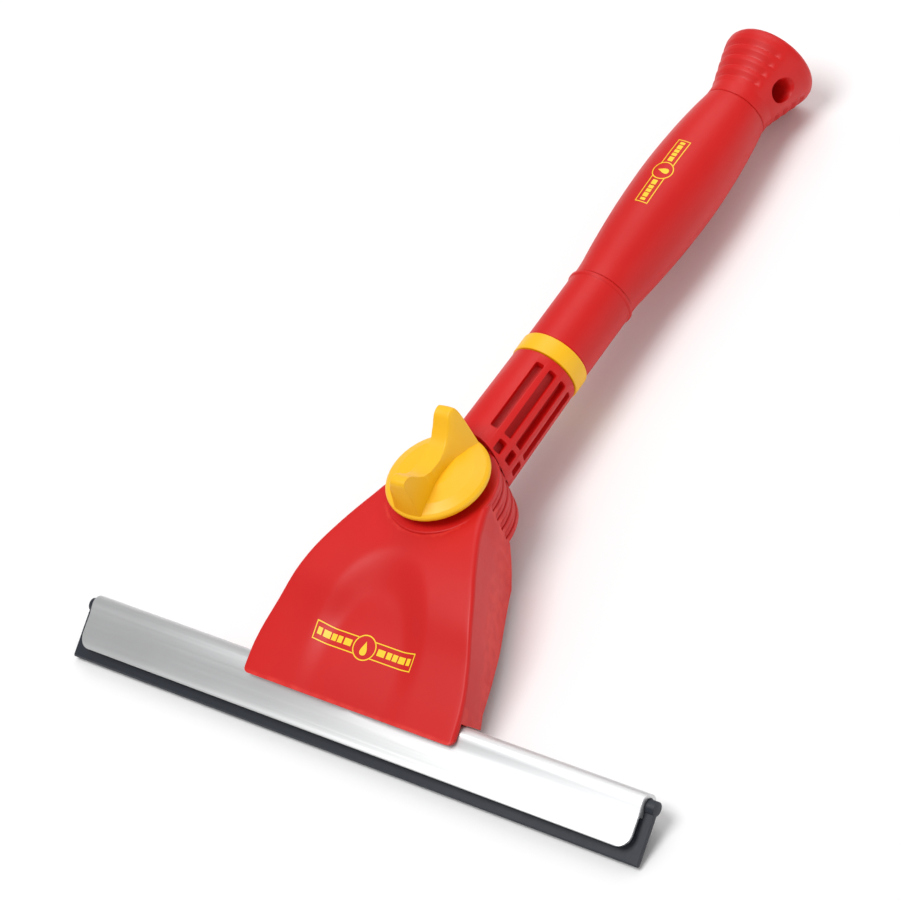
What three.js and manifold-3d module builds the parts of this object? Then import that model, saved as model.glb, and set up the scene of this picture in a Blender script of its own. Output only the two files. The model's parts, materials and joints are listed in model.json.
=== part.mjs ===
// A window squeegee with a swivelling head: a rubber blade in an aluminium rail, a hollow plastic
// body that grips the rail, a comb hinge clamped by a wing knob, and a pull-off handle.
//
// The tool is drawn upright in its own frame, in millimetres: X along the blade, Y up the handle,
// Z out of the face with the wing knob, and the origin where the pivot crosses the handle's axis.
// The whole tool is then laid on its back, on the blade's edge and the rim of the handle's end.
import * as THREE from "three";
import { mergeVertices } from "three/addons/utils/BufferGeometryUtils.js";
import Module from "manifold-3d";

const wasm = await Module();
wasm.setup();

// ---- Driving dimensions, mm and degrees ----
const GAP = 0.3; // between pieces that touch

const BLADE_TILT = 28; // of the blade's plane from the handle's axis
const BLADE_DROP = 72.2; // from the pivot down to the rubber's bead
const BLADE_SET_BACK = 24.2; // from the handle's axis back to the rubber's bead

const RUBBER_LENGTH = 250;
const RUBBER_HEIGHT = 22.3;
const RUBBER_THICK = 2;
const BEAD_DIAMETER = 5;

const RAIL_LENGTH = 243;
const RAIL_HEIGHT = 19.8;
const RAIL_WALL = 1.4;
const RAIL_FACE = 4.6; // from the rubber's middle out to the rail's front face
const RAIL_CORNER = 5; // radius of its lower corners
const RAIL_LIP = 4.4; // how far the channel's back reaches below the bead

const BODY_HALF_WIDTH = 46; // at the rail
const BODY_WALL = 2.8;
const BODY_LIP_DROP = 8; // how much of the rail's face the body covers
const BODY_BACK = 8.5; // from the rubber's middle back to the body's rear edge
const BODY_DEPTH_BACK = 26; // from the handle's axis back to the rear edges of the side walls
const DISH_DEPTH = 2.2;
const DISH_HALF_WIDTH = 28;
const RIB_WALL = 2.2;

const CLAMP_SCREW_X = 30; // from the middle out to each screw of the clamp plate
const SCREW_HEIGHT_V = 11.5; // of the screws above the rubber's bead, up the blade
const SCREW_RADIUS = 1.6;
const BOSS_RADIUS = 4.2;
const CLAMP_WALL = 2.4;
const CLAMP_TOP = 16; // the plate's upper and lower edges, from the bead up the blade
const CLAMP_FOOT = -9;

const DRUM_RADIUS = 20.6; // of the comb hinge
const BODY_FINGER = 2.4;
const NECK_FINGER = 2;
const NECK_FINGER_COUNT = 4;
const DRUM_FRONT = 8.4; // from the handle's axis to the front finger's face

const BOLT_DIAMETER = 6;
const BOLT_SQUARE = 8;
const BOLT_HEAD_RADIUS = 7.5;
const BOLT_HEAD_HEIGHT = 3;
const RING_RADIUS = 13; // toothed ring under the knob
const RING_HEIGHT = 1.6;
const RING_TEETH = 30;
const SPRING_HEIGHT = 0.8;
const WASHER_RADIUS = 8;
const WASHER_HEIGHT = 1.2;
const KNOB_RADIUS = 19.1;
const KNOB_EDGE = 3.6; // height of its rim
const KNOB_CROWN = 3.2; // rise of its face above the rim
const WING_THICK = 7.2;
const WING_HALF_LENGTH = 18.6;
const HORN_HEIGHT = 16.4; // of the wing's two horns above the rim
const SADDLE_HEIGHT = 7.4;
const NUT_FLATS = 10;
const NUT_HEIGHT = 3.2; // a thin nut

const NECK_START = 23.5;
const NECK_LOWER_RADIUS = 13.6;
const NECK_UPPER_RADIUS = 12.9;
const COLLAR_START = 62;
const COLLAR_HEIGHT = 7.4;
const COLLAR_RADIUS = 13.3;
const POCKET_WIDTH = 3.4;
const POCKET_DEPTH = 4;
const POCKET_START = 27;
const POCKET_END = 58;
const POCKET_PITCH = 25; // degrees round the neck
const POCKET_FIRST = 25; // degrees from the front, towards +X
const POCKET_COUNT = 4; // on each half
const WINDOW_START = 19.5; // short pockets between the comb and the long ones
const WINDOW_END = 24.8;
const SPIGOT_RADIUS = 9.4;
const SPIGOT_LENGTH = 42;
const NECK_BORE_RADIUS = 6;
const SNAP_GROOVE = 1.3;
const SNAP_HEIGHT = 2.4;
const SNAP_FROM_END = 12;

const BARREL_RADIUS = 12.7;
const BARREL_END = 101;
const BARREL_LIP = 0.5;
const GRIP_START_RADIUS = 12.5;
const GRIP_MAX_RADIUS = 15.8;
const GRIP_MAX_AT = 156;
const GRIP_END = 195.5;
const GRIP_END_RADIUS = 12.5;
const CORE_RADIUS = 8.4;
const CORE_WALL = 1.2;
const CORE_OVERLAP = 12; // of the core tube in the barrel and of the cap in the core tube
const CAP_LENGTH = 28;
const CAP_RADIUS = 18.1;
const CAP_GROOVES = 4;
const CAP_GROOVE_DEPTH = 0.9;
const HANG_HOLE_RADIUS = 4.5;
const HANG_HOLE_FROM_END = 15;
const HANG_HOLE_ANGLE = 78; // degrees from the front, towards +X

const SIDES = 40; // facets of a full round

const RED = 0xd01c18;
const YELLOW = 0xffcc00;
const BLACK = 0x2b3340;
const ALUMINIUM = 0xe9ebec;
const STEEL = 0xb9bcc0;

// ---- Solids ----
const turn = THREE.MathUtils.degToRad;

/** A closed geometry as a solid, faces out. */
function solid(geometry) {
  const flat = (geometry.index ? geometry.toNonIndexed() : geometry).clone();
  const bare = new THREE.BufferGeometry().setAttribute("position", flat.getAttribute("position"));
  const merged = mergeVertices(bare, 1e-4);
  const vertProperties = merged.attributes.position.array;
  const triVerts = new Uint32Array(merged.index.array);
  const made = new wasm.Manifold(new wasm.Mesh({ numProp: 3, vertProperties, triVerts }));
  if (made.volume() > 0) return made;
  for (let i = 0; i < triVerts.length; i += 3) {
    [triVerts[i + 1], triVerts[i + 2]] = [triVerts[i + 2], triVerts[i + 1]];
  }
  return new wasm.Manifold(new wasm.Mesh({ numProp: 3, vertProperties, triVerts }));
}

/** The geometry of a solid. */
function geometryOf(made) {
  const { vertProperties, triVerts } = made.getMesh();
  const geometry = new THREE.BufferGeometry();
  geometry.setAttribute("position", new THREE.BufferAttribute(vertProperties, 3));
  geometry.setIndex(new THREE.BufferAttribute(triVerts, 1));
  const flat = geometry.toNonIndexed();
  flat.computeVertexNormals();
  return flat;
}

const join = (first, ...rest) => rest.reduce((all, one) => all.add(one), first);
const cut = (first, ...rest) => rest.reduce((all, one) => all.subtract(one), first);

/** An outline in X and Y, extruded from z0 to z1. */
function slab(points, z0, z1) {
  const outline = new THREE.Shape(points.map(([x, y]) => new THREE.Vector2(x, y)));
  const geometry = new THREE.ExtrudeGeometry(outline, { depth: z1 - z0, bevelEnabled: false });
  return solid(geometry.translate(0, 0, z0));
}

/** An outline in Y and Z, extruded along X over a width about the middle. */
function sideSlab(points, width) {
  const outline = new THREE.Shape(points.map(([y, z]) => new THREE.Vector2(y, z)));
  const geometry = new THREE.ExtrudeGeometry(outline, { depth: width, bevelEnabled: false });
  const axes = new THREE.Matrix4().makeBasis(
    new THREE.Vector3(0, 1, 0),
    new THREE.Vector3(0, 0, 1),
    new THREE.Vector3(1, 0, 0),
  );
  return solid(geometry.applyMatrix4(axes).translate(-width / 2, 0, 0));
}

/** A round bar along Z. */
function barZ(radius, z0, z1, sides = SIDES) {
  const geometry = new THREE.CylinderGeometry(radius, radius, z1 - z0, sides);
  return solid(geometry.rotateX(Math.PI / 2).translate(0, 0, (z0 + z1) / 2));
}

/** A round bar along Y that may taper. */
function barY(radius0, radius1, y0, y1, sides = SIDES) {
  const geometry = new THREE.CylinderGeometry(radius1, radius0, y1 - y0, sides);
  return solid(geometry.translate(0, (y0 + y1) / 2, 0));
}

/** A solid turned about Y from an outline of radius and height that starts and ends on the axis. */
function turned(points, sides = SIDES) {
  return solid(new THREE.LatheGeometry(points.map(([r, y]) => new THREE.Vector2(r, y)), sides));
}

/** A box between two corners. */
function box([x0, y0, z0], [x1, y1, z1]) {
  const geometry = new THREE.BoxGeometry(x1 - x0, y1 - y0, z1 - z0);
  return solid(geometry.translate((x0 + x1) / 2, (y0 + y1) / 2, (z0 + z1) / 2));
}

/** Points of a smooth curve through the given ones. */
function smooth(points, count) {
  const curve = new THREE.SplineCurve(points.map(([x, y]) => new THREE.Vector2(x, y)));
  return curve.getPoints(count).map(({ x, y }) => [x, y]);
}

/** Points of an arc about a centre, angles in degrees. */
function arc([x, y], radius, from, to, steps) {
  return Array.from({ length: steps + 1 }, (_, i) => {
    const angle = turn(from + ((to - from) * i) / steps);
    return [x + radius * Math.cos(angle), y + radius * Math.sin(angle)];
  });
}

const tool = new THREE.Group();

/** Adds a finished piece to the tool. */
function piece(name, made, color, roughness, metalness = 0) {
  const material = new THREE.MeshStandardMaterial({ color, roughness, metalness });
  const mesh = new THREE.Mesh(geometryOf(made), material);
  mesh.name = name;
  tool.add(mesh);
  return mesh;
}

// ---- The blade's own directions: v up its face, w out of it, from the middle of the bead ----
const tiltCos = Math.cos(turn(BLADE_TILT));
const tiltSin = Math.sin(turn(BLADE_TILT));

/** The Y and Z of a point of the blade's section. */
function onBlade([v, w]) {
  return [-BLADE_DROP + v * tiltCos - w * tiltSin, -BLADE_SET_BACK + v * tiltSin + w * tiltCos];
}

/** A section given on the blade, extruded along X. */
const bladeSlab = (section, width) => sideSlab(section.map(onBlade), width);

const beadRadius = BEAD_DIAMETER / 2;
const channelRadius = beadRadius + GAP;
const railTop = channelRadius + RAIL_WALL;
const railFoot = railTop - RAIL_HEIGHT;
const rubberFoot = beadRadius - RUBBER_HEIGHT;
const lipFoot = railTop - BODY_LIP_DROP;
const seatTop = railTop + GAP; // underside of the body on the rail
const lipBack = RAIL_FACE + 0.5 + GAP; // rear of the body's lip, clear of the rail's rounded top
const lipFront = lipBack + BODY_WALL - 0.4;

// ---- Rubber blade ----
const halfSheet = RUBBER_THICK / 2;
const sheetAngle = THREE.MathUtils.radToDeg(Math.asin(halfSheet / beadRadius));
const rubberSection = [
  ...arc([0, 0], beadRadius, 180 + sheetAngle, 540 - sheetAngle - 360, 12),
  [rubberFoot + 0.6, halfSheet],
  [rubberFoot, halfSheet - 0.5],
  [rubberFoot, -halfSheet + 0.5],
  [rubberFoot + 0.6, -halfSheet],
];
piece("rubber_blade", bladeSlab(rubberSection, RUBBER_LENGTH), BLACK, 0.7);

// ---- Aluminium rail: a face sheet rolled over the bead, with two lips that pinch the rubber ----
const pinch = halfSheet + GAP;
const sheetInside = RAIL_FACE - RAIL_WALL;
const railSection = [
  [railFoot, RAIL_FACE + 0.5],
  [railFoot + 3, RAIL_FACE - 0.1],
  [-channelRadius, RAIL_FACE - 0.2],
  [0, RAIL_FACE + 0.4],
  ...arc([0, 1], RAIL_FACE - 1 + 0.4, 75, 20, 4).map(([v, w]) => [Math.min(v, railTop), w]),
  ...arc([0, 0], railTop, -20, -90, 5),
  [-RAIL_LIP, -railTop],
  [-RAIL_LIP, -pinch],
  [-RAIL_LIP + RAIL_WALL, -pinch],
  ...arc([0, 0], channelRadius, -140, 140, 14),
  [-RAIL_LIP + RAIL_WALL, pinch],
  [-RAIL_LIP, pinch],
  [-RAIL_LIP, sheetInside],
  [railFoot + 3, sheetInside],
  [railFoot, sheetInside + 0.6],
];
const halfRail = RAIL_LENGTH / 2;
const railCorners = [
  ...arc([-halfRail + RAIL_CORNER, railFoot + RAIL_CORNER], RAIL_CORNER, 180, 270, 5),
  ...arc([halfRail - RAIL_CORNER, railFoot + RAIL_CORNER], RAIL_CORNER, 270, 360, 5),
  [halfRail, railTop + 1],
  [-halfRail, railTop + 1],
];

/** An outline in X and v, extruded through the blade along w. */
function bladeFront(points, w0, w1) {
  const outline = new THREE.Shape(points.map(([x, v]) => new THREE.Vector2(x, v)));
  const geometry = new THREE.ExtrudeGeometry(outline, { depth: w1 - w0, bevelEnabled: false });
  geometry.translate(0, 0, w0).rotateX(turn(BLADE_TILT));
  return solid(geometry.translate(0, -BLADE_DROP, -BLADE_SET_BACK));
}
const rail = bladeSlab(railSection, RAIL_LENGTH + 2).intersect(bladeFront(railCorners, -12, 12));
piece("aluminium_rail", rail, ALUMINIUM, 0.35, 0.9);

// ---- Comb hinge: body and neck fingers take turns along the pivot ----
const fingerPitch = BODY_FINGER + NECK_FINGER + 2 * GAP;
const drumBack = DRUM_FRONT - NECK_FINGER_COUNT * fingerPitch - BODY_FINGER;
const neckFingerRadius = DRUM_RADIUS - GAP;

/** Front and back of a neck finger, widened by a clearance. */
function neckFinger(index, clearance = 0) {
  const front = DRUM_FRONT - BODY_FINGER - GAP - index * fingerPitch;
  return [front - NECK_FINGER - clearance, front + clearance];
}

// ---- Body: a bell-shaped shell, open at the back ----
const [seatBackY] = onBlade([seatTop, 0]);
const bellSide = smooth(
  [
    [BODY_HALF_WIDTH + 0.6, -BLADE_DROP - 12],
    [BODY_HALF_WIDTH, -BLADE_DROP * 0.95],
    [BODY_HALF_WIDTH * 0.93, -BLADE_DROP * 0.77],
    [(BODY_HALF_WIDTH + DRUM_RADIUS) * 0.55, -BLADE_DROP * 0.53],
    [DRUM_RADIUS + 10.4, -BLADE_DROP * 0.36],
    [DRUM_RADIUS + 4.2, -BLADE_DROP * 0.17],
    [DRUM_RADIUS, 0],
  ],
  16,
);

/** The bell's outline, drawn in by an offset and closed at a height. */
function bell(inset, top) {
  const right = bellSide.filter(([, y]) => y < top).map(([x, y]) => [x - inset, y]);
  const left = right.map(([x, y]) => [-x, y]).reverse();
  return [...right, ...left];
}
const lipPoint = onBlade([lipFoot, lipFront]);
const frontCurve = smooth(
  [
    lipPoint,
    onBlade([lipFoot + 9, lipFront]),
    [-BLADE_DROP * 0.77, DRUM_FRONT - 15.2],
    [-BLADE_DROP * 0.6, DRUM_FRONT - 7.8],
    [-BLADE_DROP * 0.43, DRUM_FRONT - 3.2],
    [-BLADE_DROP * 0.25, DRUM_FRONT - 0.7],
    [-BLADE_DROP * 0.12, DRUM_FRONT],
    [0, DRUM_FRONT],
  ],
  16,
);
const bodySection = [
  ...frontCurve,
  ...smooth([[0, drumBack], [-5, drumBack - 7], [-11, -BODY_DEPTH_BACK]], 8),
  [-BLADE_DROP * 0.62, -BODY_DEPTH_BACK - 0.6],
  onBlade([seatTop + 5, -BODY_BACK]),
  onBlade([seatTop, -BODY_BACK]),
  onBlade([seatTop, lipBack]),
  onBlade([lipFoot, lipBack]),
];
const wide = 2 * BODY_HALF_WIDTH + 4;
const drum = barZ(DRUM_RADIUS, drumBack, DRUM_FRONT);
const bellSolid = slab(bell(0, 1), drumBack - 40, DRUM_FRONT + 10).intersect(sideSlab(bodySection, wide));

/** The front curve moved back by an amount that fades out towards the lip and the hinge. */
const dishFloor = frontCurve.map(([y, z], i) => [y, z - DISH_DEPTH * Math.sin((Math.PI * i) / 16)]);
const dishSlab = sideSlab([...dishFloor, [0, 40], [lipPoint[0], 40]], wide);
const dishTop = -BLADE_DROP * 0.36;
const dishOutline = smooth(
  [
    [DISH_HALF_WIDTH + 2, lipPoint[0] + 3],
    [DISH_HALF_WIDTH - 6, -BLADE_DROP * 0.62],
    [DISH_HALF_WIDTH * 0.5, dishTop - 6],
    [0, dishTop],
    [-DISH_HALF_WIDTH * 0.5, dishTop - 6],
    [-DISH_HALF_WIDTH + 6, -BLADE_DROP * 0.62],
    [-DISH_HALF_WIDTH - 2, lipPoint[0] + 3],
  ],
  24,
);
const dish = slab(dishOutline, -60, 40).intersect(dishSlab);

const wallBack = BODY_WALL + DISH_DEPTH;
const cavityTop = -DRUM_RADIUS - BODY_WALL - GAP;
const cavityFront = frontCurve.filter(([y]) => y < cavityTop).map(([y, z]) => [y, z - wallBack]);
const cavitySection = [
  onBlade([seatTop - 5, lipBack - 0.1]),
  onBlade([seatTop + BODY_WALL, lipBack - 0.1]),
  ...cavityFront.filter(([, z]) => z > onBlade([seatTop + BODY_WALL, lipBack])[1] + 2),
  [cavityTop, cavityFront[cavityFront.length - 1][1]],
  [cavityTop, -80],
  [-BLADE_DROP - 40, -80],
];
const lowerCavity = slab(bell(BODY_WALL, cavityTop), -90, 40).intersect(sideSlab(cavitySection, wide));
const rearCavity = slab(bell(BODY_WALL, 1), -90, drumBack).intersect(
  box([-wide, cavityTop - 1, -90], [wide, 5, 90]),
);
const cavity = join(lowerCavity, rearCavity);
const ribs = [-1, 1].map((side) =>
  box([side * 14 - RIB_WALL / 2, seatBackY + 10, -60], [side * 14 + RIB_WALL / 2, cavityTop + 1, 30]),
);
const ribSolids = ribs.map((rib) => rib.intersect(sideSlab(bodySection, wide)));

// Bosses that take the clamp's screws, standing on the inside of the front wall.
const clampFront = -railTop - GAP;
const clampBack = clampFront - CLAMP_WALL;

/** A round bar through the blade along w, at a place of X and v. */
function bladeBar(x, v, radius, w0, w1, sides = 20) {
  const geometry = new THREE.CylinderGeometry(radius, radius, w1 - w0, sides);
  geometry.rotateX(Math.PI / 2).translate(x, v, (w0 + w1) / 2).rotateX(turn(BLADE_TILT));
  return solid(geometry.translate(0, -BLADE_DROP, -BLADE_SET_BACK));
}
const screwPlaces = [-CLAMP_SCREW_X, CLAMP_SCREW_X];
const bosses = screwPlaces.map((x) =>
  bladeBar(x, SCREW_HEIGHT_V, BOSS_RADIUS, clampFront + GAP, lipFront - 1).intersect(bellSolid),
);
const screwHoles = screwPlaces.map((x) =>
  bladeBar(x, SCREW_HEIGHT_V, SCREW_RADIUS + GAP, clampFront - 1, lipBack - 1.5),
);
const slots = Array.from({ length: NECK_FINGER_COUNT }, (_, i) =>
  barZ(DRUM_RADIUS + GAP, ...neckFinger(i, GAP)),
);
const clampHalf = BODY_HALF_WIDTH - BODY_WALL - 2.5;
const seatHalf = clampHalf + GAP;
const clampSeat = bladeFront(
  [[-seatHalf, -20], [seatHalf, -20], [seatHalf, CLAMP_TOP + GAP], [-seatHalf, CLAMP_TOP + GAP]],
  clampBack - 40,
  clampFront + GAP,
);
let body = join(bellSolid, drum);
body = cut(join(cut(body, cavity), ...ribSolids, ...bosses), dish, clampSeat);
const boltHole = barZ(BOLT_DIAMETER / 2 + GAP, drumBack - 1, DRUM_FRONT + 1, 20);
const halfSquare = BOLT_SQUARE / 2 + GAP;
const squareHole = box([-halfSquare, -halfSquare, drumBack - 1], [halfSquare, halfSquare, drumBack + 2.5]);
body = cut(body, ...slots, ...screwHoles, boltHole, squareHole);
piece("squeegee_body", body, RED, 0.4);

// ---- Clamp plate behind the rail ----
const clampOutline = [
  ...arc([-clampHalf + 4, CLAMP_FOOT + 4], 4, 180, 270, 4),
  ...arc([clampHalf - 4, CLAMP_FOOT + 4], 4, 270, 360, 4),
  ...arc([clampHalf - 4, CLAMP_TOP - 4], 4, 0, 90, 4),
  ...arc([-clampHalf + 4, CLAMP_TOP - 4], 4, 90, 180, 4),
];
const clampHoles = screwPlaces.map((x) =>
  bladeBar(x, SCREW_HEIGHT_V, SCREW_RADIUS + GAP, clampBack - 1, clampFront + 1),
);
piece("rail_clamp", cut(bladeFront(clampOutline, clampBack, clampFront), ...clampHoles), RED, 0.5);

screwPlaces.forEach((x, i) => {
  const head = bladeBar(x, SCREW_HEIGHT_V, 3, clampBack - GAP - 1.8, clampBack - GAP);
  const shank = bladeBar(x, SCREW_HEIGHT_V, SCREW_RADIUS, clampBack - GAP - 0.5, clampFront + 8);
  const recess = bladeFront(
    [[x - 0.5, 9.5], [x + 0.5, 9.5], [x + 0.5, 13.5], [x - 0.5, 13.5]],
    clampBack - 4,
    clampBack - GAP - 1,
  );
  piece(`clamp_screw_${i + 1}`, cut(join(head, shank), recess), STEEL, 0.3, 1);
});

// ---- Pivot bolt and wing knob ----
const ringFoot = DRUM_FRONT + GAP;
const springFoot = ringFoot + RING_HEIGHT + GAP;
const washerFoot = springFoot + SPRING_HEIGHT + GAP;
const knobFoot = springFoot + SPRING_HEIGHT;
const rimTop = knobFoot + KNOB_EDGE;
const nutFoot = washerFoot + WASHER_HEIGHT + GAP;
const boltEnd = nutFoot + NUT_HEIGHT + 1;
const headTop = drumBack - GAP;
const domePoints = arc([0, 0], 1, 0, 90, 6).map(([c, s]) => [BOLT_HEAD_RADIUS * c, -BOLT_HEAD_HEIGHT * s]);
const dome = new THREE.LatheGeometry(
  [[0, 0], ...domePoints.slice(0, -1), [0, -BOLT_HEAD_HEIGHT]].map(([r, y]) => new THREE.Vector2(r, y)),
  24,
);
const boltSquare = BOLT_SQUARE / 2;
const bolt = join(
  solid(dome.rotateX(Math.PI / 2).translate(0, 0, headTop)),
  box([-boltSquare, -boltSquare, headTop - 0.2], [boltSquare, boltSquare, drumBack + 2.2]),
  barZ(BOLT_DIAMETER / 2, headTop - 0.2, boltEnd, 20),
);
piece("pivot_bolt", bolt, STEEL, 0.3, 1);

const ringOutline = Array.from({ length: 2 * RING_TEETH }, (_, i) => {
  const angle = (Math.PI * i) / RING_TEETH;
  const radius = i % 2 ? RING_RADIUS : RING_RADIUS - 0.9;
  return [radius * Math.cos(angle), radius * Math.sin(angle)];
});
const boltClear = barZ(BOLT_DIAMETER / 2 + GAP, 0, 60, 20);
piece("tooth_ring", cut(slab(ringOutline, ringFoot, ringFoot + RING_HEIGHT), boltClear), RED, 0.5);

const springTurn = arc([0, 0], WASHER_RADIUS - 1, 8, 352, 24);
const springInside = arc([0, 0], WASHER_RADIUS - 3, 352, 8, 24);
const springWasher = slab([...springTurn, ...springInside], springFoot, springFoot + SPRING_HEIGHT);
piece("split_spring_washer", springWasher, STEEL, 0.35, 1);

const washer = cut(barZ(WASHER_RADIUS, washerFoot, washerFoot + WASHER_HEIGHT, 28), boltClear);
piece("thrust_washer", washer, STEEL, 0.3, 1);

const crown = new THREE.LatheGeometry(
  [
    [0, 0],
    [KNOB_RADIUS - 1.2, 0],
    [KNOB_RADIUS, 1.2],
    [KNOB_RADIUS, KNOB_EDGE - 1],
    [KNOB_RADIUS - 1, KNOB_EDGE],
    [KNOB_RADIUS * 0.6, KNOB_EDGE + KNOB_CROWN * 0.75],
    [0, KNOB_EDGE + KNOB_CROWN],
  ].map(([r, y]) => new THREE.Vector2(r, y)),
  48,
);
const wingBase = rimTop - 0.5;
const wingOutline = [
  [-WING_HALF_LENGTH - 0.2, wingBase],
  [WING_HALF_LENGTH + 0.2, wingBase],
  ...smooth(
    [
      [WING_HALF_LENGTH, rimTop + HORN_HEIGHT * 0.5],
      [WING_HALF_LENGTH - 0.5, rimTop + HORN_HEIGHT * 0.94],
      [WING_HALF_LENGTH - 2, rimTop + HORN_HEIGHT],
      [WING_HALF_LENGTH - 4.4, rimTop + HORN_HEIGHT * 0.88],
      [WING_HALF_LENGTH * 0.35, rimTop + SADDLE_HEIGHT * 1.2],
      [0, rimTop + SADDLE_HEIGHT],
      [-WING_HALF_LENGTH * 0.35, rimTop + SADDLE_HEIGHT * 1.2],
      [-WING_HALF_LENGTH + 4.4, rimTop + HORN_HEIGHT * 0.88],
      [-WING_HALF_LENGTH + 2, rimTop + HORN_HEIGHT],
      [-WING_HALF_LENGTH + 0.5, rimTop + HORN_HEIGHT * 0.94],
      [-WING_HALF_LENGTH, rimTop + HORN_HEIGHT * 0.5],
    ],
    32,
  ),
];
const hexagon = (flats, clearance) =>
  arc([0, 0], flats / 2 / Math.cos(Math.PI / 6) + clearance, 0, 300, 5);
const knobBlank = join(
  solid(crown.rotateX(Math.PI / 2).translate(0, 0, knobFoot)),
  sideSlab(wingOutline, WING_THICK),
);
const knob = cut(
  knobBlank,
  barZ(RING_RADIUS + 0.6, knobFoot - 1, washerFoot - GAP, 32),
  barZ(WASHER_RADIUS + GAP, knobFoot - 1, washerFoot + WASHER_HEIGHT + GAP / 2, 28),
  slab(hexagon(NUT_FLATS, GAP), knobFoot - 1, nutFoot + NUT_HEIGHT + GAP),
  barZ(BOLT_DIAMETER / 2 + GAP, knobFoot - 1, boltEnd + 0.5, 20),
);
piece("wing_knob", knob, YELLOW, 0.4);
piece("knob_nut", cut(slab(hexagon(NUT_FLATS, 0), nutFoot, nutFoot + NUT_HEIGHT), boltClear), STEEL, 0.35, 1);

// ---- Neck: comb end, cored tube and spigot ----
const neckBlade = join(
  barZ(neckFingerRadius, drumBack, DRUM_FRONT),
  barY(NECK_LOWER_RADIUS, NECK_LOWER_RADIUS, 2, NECK_START + 2),
);
const neckFingers = Array.from({ length: NECK_FINGER_COUNT }, (_, i) => {
  const [z0, z1] = neckFinger(i);
  return neckBlade.intersect(box([-40, -40, z0], [40, 60, z1]));
});
const collarEnd = COLLAR_START + COLLAR_HEIGHT;
const spigotEnd = collarEnd + SPIGOT_LENGTH;
const snapAt = spigotEnd - SNAP_FROM_END;
const neckOutside = turned([
  [0, NECK_LOWER_RADIUS],
  [NECK_LOWER_RADIUS, NECK_LOWER_RADIUS],
  [NECK_UPPER_RADIUS, COLLAR_START - GAP],
  [SPIGOT_RADIUS, COLLAR_START - GAP],
  [SPIGOT_RADIUS, snapAt],
  [SPIGOT_RADIUS - SNAP_GROOVE, snapAt],
  [SPIGOT_RADIUS - SNAP_GROOVE, snapAt + SNAP_HEIGHT + 2 * GAP],
  [SPIGOT_RADIUS, snapAt + SNAP_HEIGHT + 2 * GAP],
  [SPIGOT_RADIUS, spigotEnd - 1.5],
  [SPIGOT_RADIUS - 1.5, spigotEnd],
  [0, spigotEnd],
]);

/** A pocket cored into the neck's side, at an angle from the front towards +X. */
function pocket(angle, y0, y1) {
  const inner = NECK_LOWER_RADIUS - POCKET_DEPTH;
  const geometry = new THREE.BoxGeometry(POCKET_WIDTH, y1 - y0, POCKET_DEPTH + 3);
  geometry.translate(0, (y0 + y1) / 2, inner + (POCKET_DEPTH + 3) / 2).rotateY(turn(angle));
  return solid(geometry);
}
const pockets = [0, 180].flatMap((half) =>
  Array.from({ length: POCKET_COUNT }, (_, i) =>
    pocket(half + POCKET_FIRST + i * POCKET_PITCH, POCKET_START, POCKET_END),
  ),
);
const windows = [0, 180].flatMap((half) =>
  Array.from({ length: POCKET_COUNT - 1 }, (_, i) =>
    pocket(half + POCKET_FIRST + (i + 1) * POCKET_PITCH, WINDOW_START, WINDOW_END),
  ),
);
const cove = barZ(DRUM_RADIUS + GAP, -NECK_LOWER_RADIUS - 1, NECK_LOWER_RADIUS + 1);
const neckBore = barY(NECK_BORE_RADIUS, NECK_BORE_RADIUS, POCKET_START + 2, spigotEnd + 1, 24);
const bothWays = join(boltClear, boltClear.mirror([0, 0, 1]));
const neckBlank = join(cut(neckOutside, cove), ...neckFingers);
const neck = cut(neckBlank, ...pockets, ...windows, neckBore, bothWays);
piece("neck", neck, RED, 0.4);

/** A ring about the handle's axis. */
const ringY = (inner, outer, y0, y1, sides = SIDES) =>
  cut(barY(outer, outer, y0, y1, sides), barY(inner, inner, y0 - 1, y1 + 1, sides));
const collar = ringY(SPIGOT_RADIUS + GAP, COLLAR_RADIUS, COLLAR_START, collarEnd);
piece("collar_ring", collar, YELLOW, 0.4);

const snapOutline = [
  ...arc([0, 0], SPIGOT_RADIUS, 25, 335, 24),
  ...arc([0, 0], SPIGOT_RADIUS - SNAP_GROOVE + GAP, 335, 25, 24),
];
const snapGeometry = new THREE.ExtrudeGeometry(
  new THREE.Shape(snapOutline.map(([x, y]) => new THREE.Vector2(x, y))),
  { depth: SNAP_HEIGHT, bevelEnabled: false },
);
snapGeometry.rotateX(-Math.PI / 2).translate(0, snapAt + GAP, 0);
piece("snap_ring", solid(snapGeometry), STEEL, 0.35, 1);

// ---- Handle ----
const barrelStart = collarEnd + GAP;
const gripStart = BARREL_END + GAP;
const socketDepth = spigotEnd + 1.5;
const barrelTail = socketDepth + CORE_OVERLAP + 2;
const socketRadius = SPIGOT_RADIUS + GAP;
const tailRadius = GRIP_START_RADIUS - 1.8;
const coreHole = CORE_RADIUS + GAP;
const barrelOutside = turned([
  [0, barrelStart],
  [BARREL_RADIUS - 0.4, barrelStart],
  [BARREL_RADIUS, barrelStart + 0.4],
  [BARREL_RADIUS, BARREL_END - 2],
  [BARREL_RADIUS + BARREL_LIP, BARREL_END - 1.4],
  [BARREL_RADIUS + BARREL_LIP, BARREL_END - 0.4],
  [BARREL_RADIUS, BARREL_END],
  [tailRadius, BARREL_END],
  [tailRadius, barrelTail],
  [0, barrelTail],
]);
const barrel = cut(
  barrelOutside,
  barY(socketRadius, socketRadius, barrelStart - 1, socketDepth),
  barY(coreHole, coreHole, socketDepth - 0.1, barrelTail + 1),
);
piece("handle_barrel", barrel, RED, 0.4);

const coreStart = socketDepth + 1;
const coreEnd = GRIP_END - 3;
piece("core_tube", ringY(CORE_RADIUS - CORE_WALL, CORE_RADIUS, coreStart, coreEnd), ALUMINIUM, 0.4, 0.9);

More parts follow.
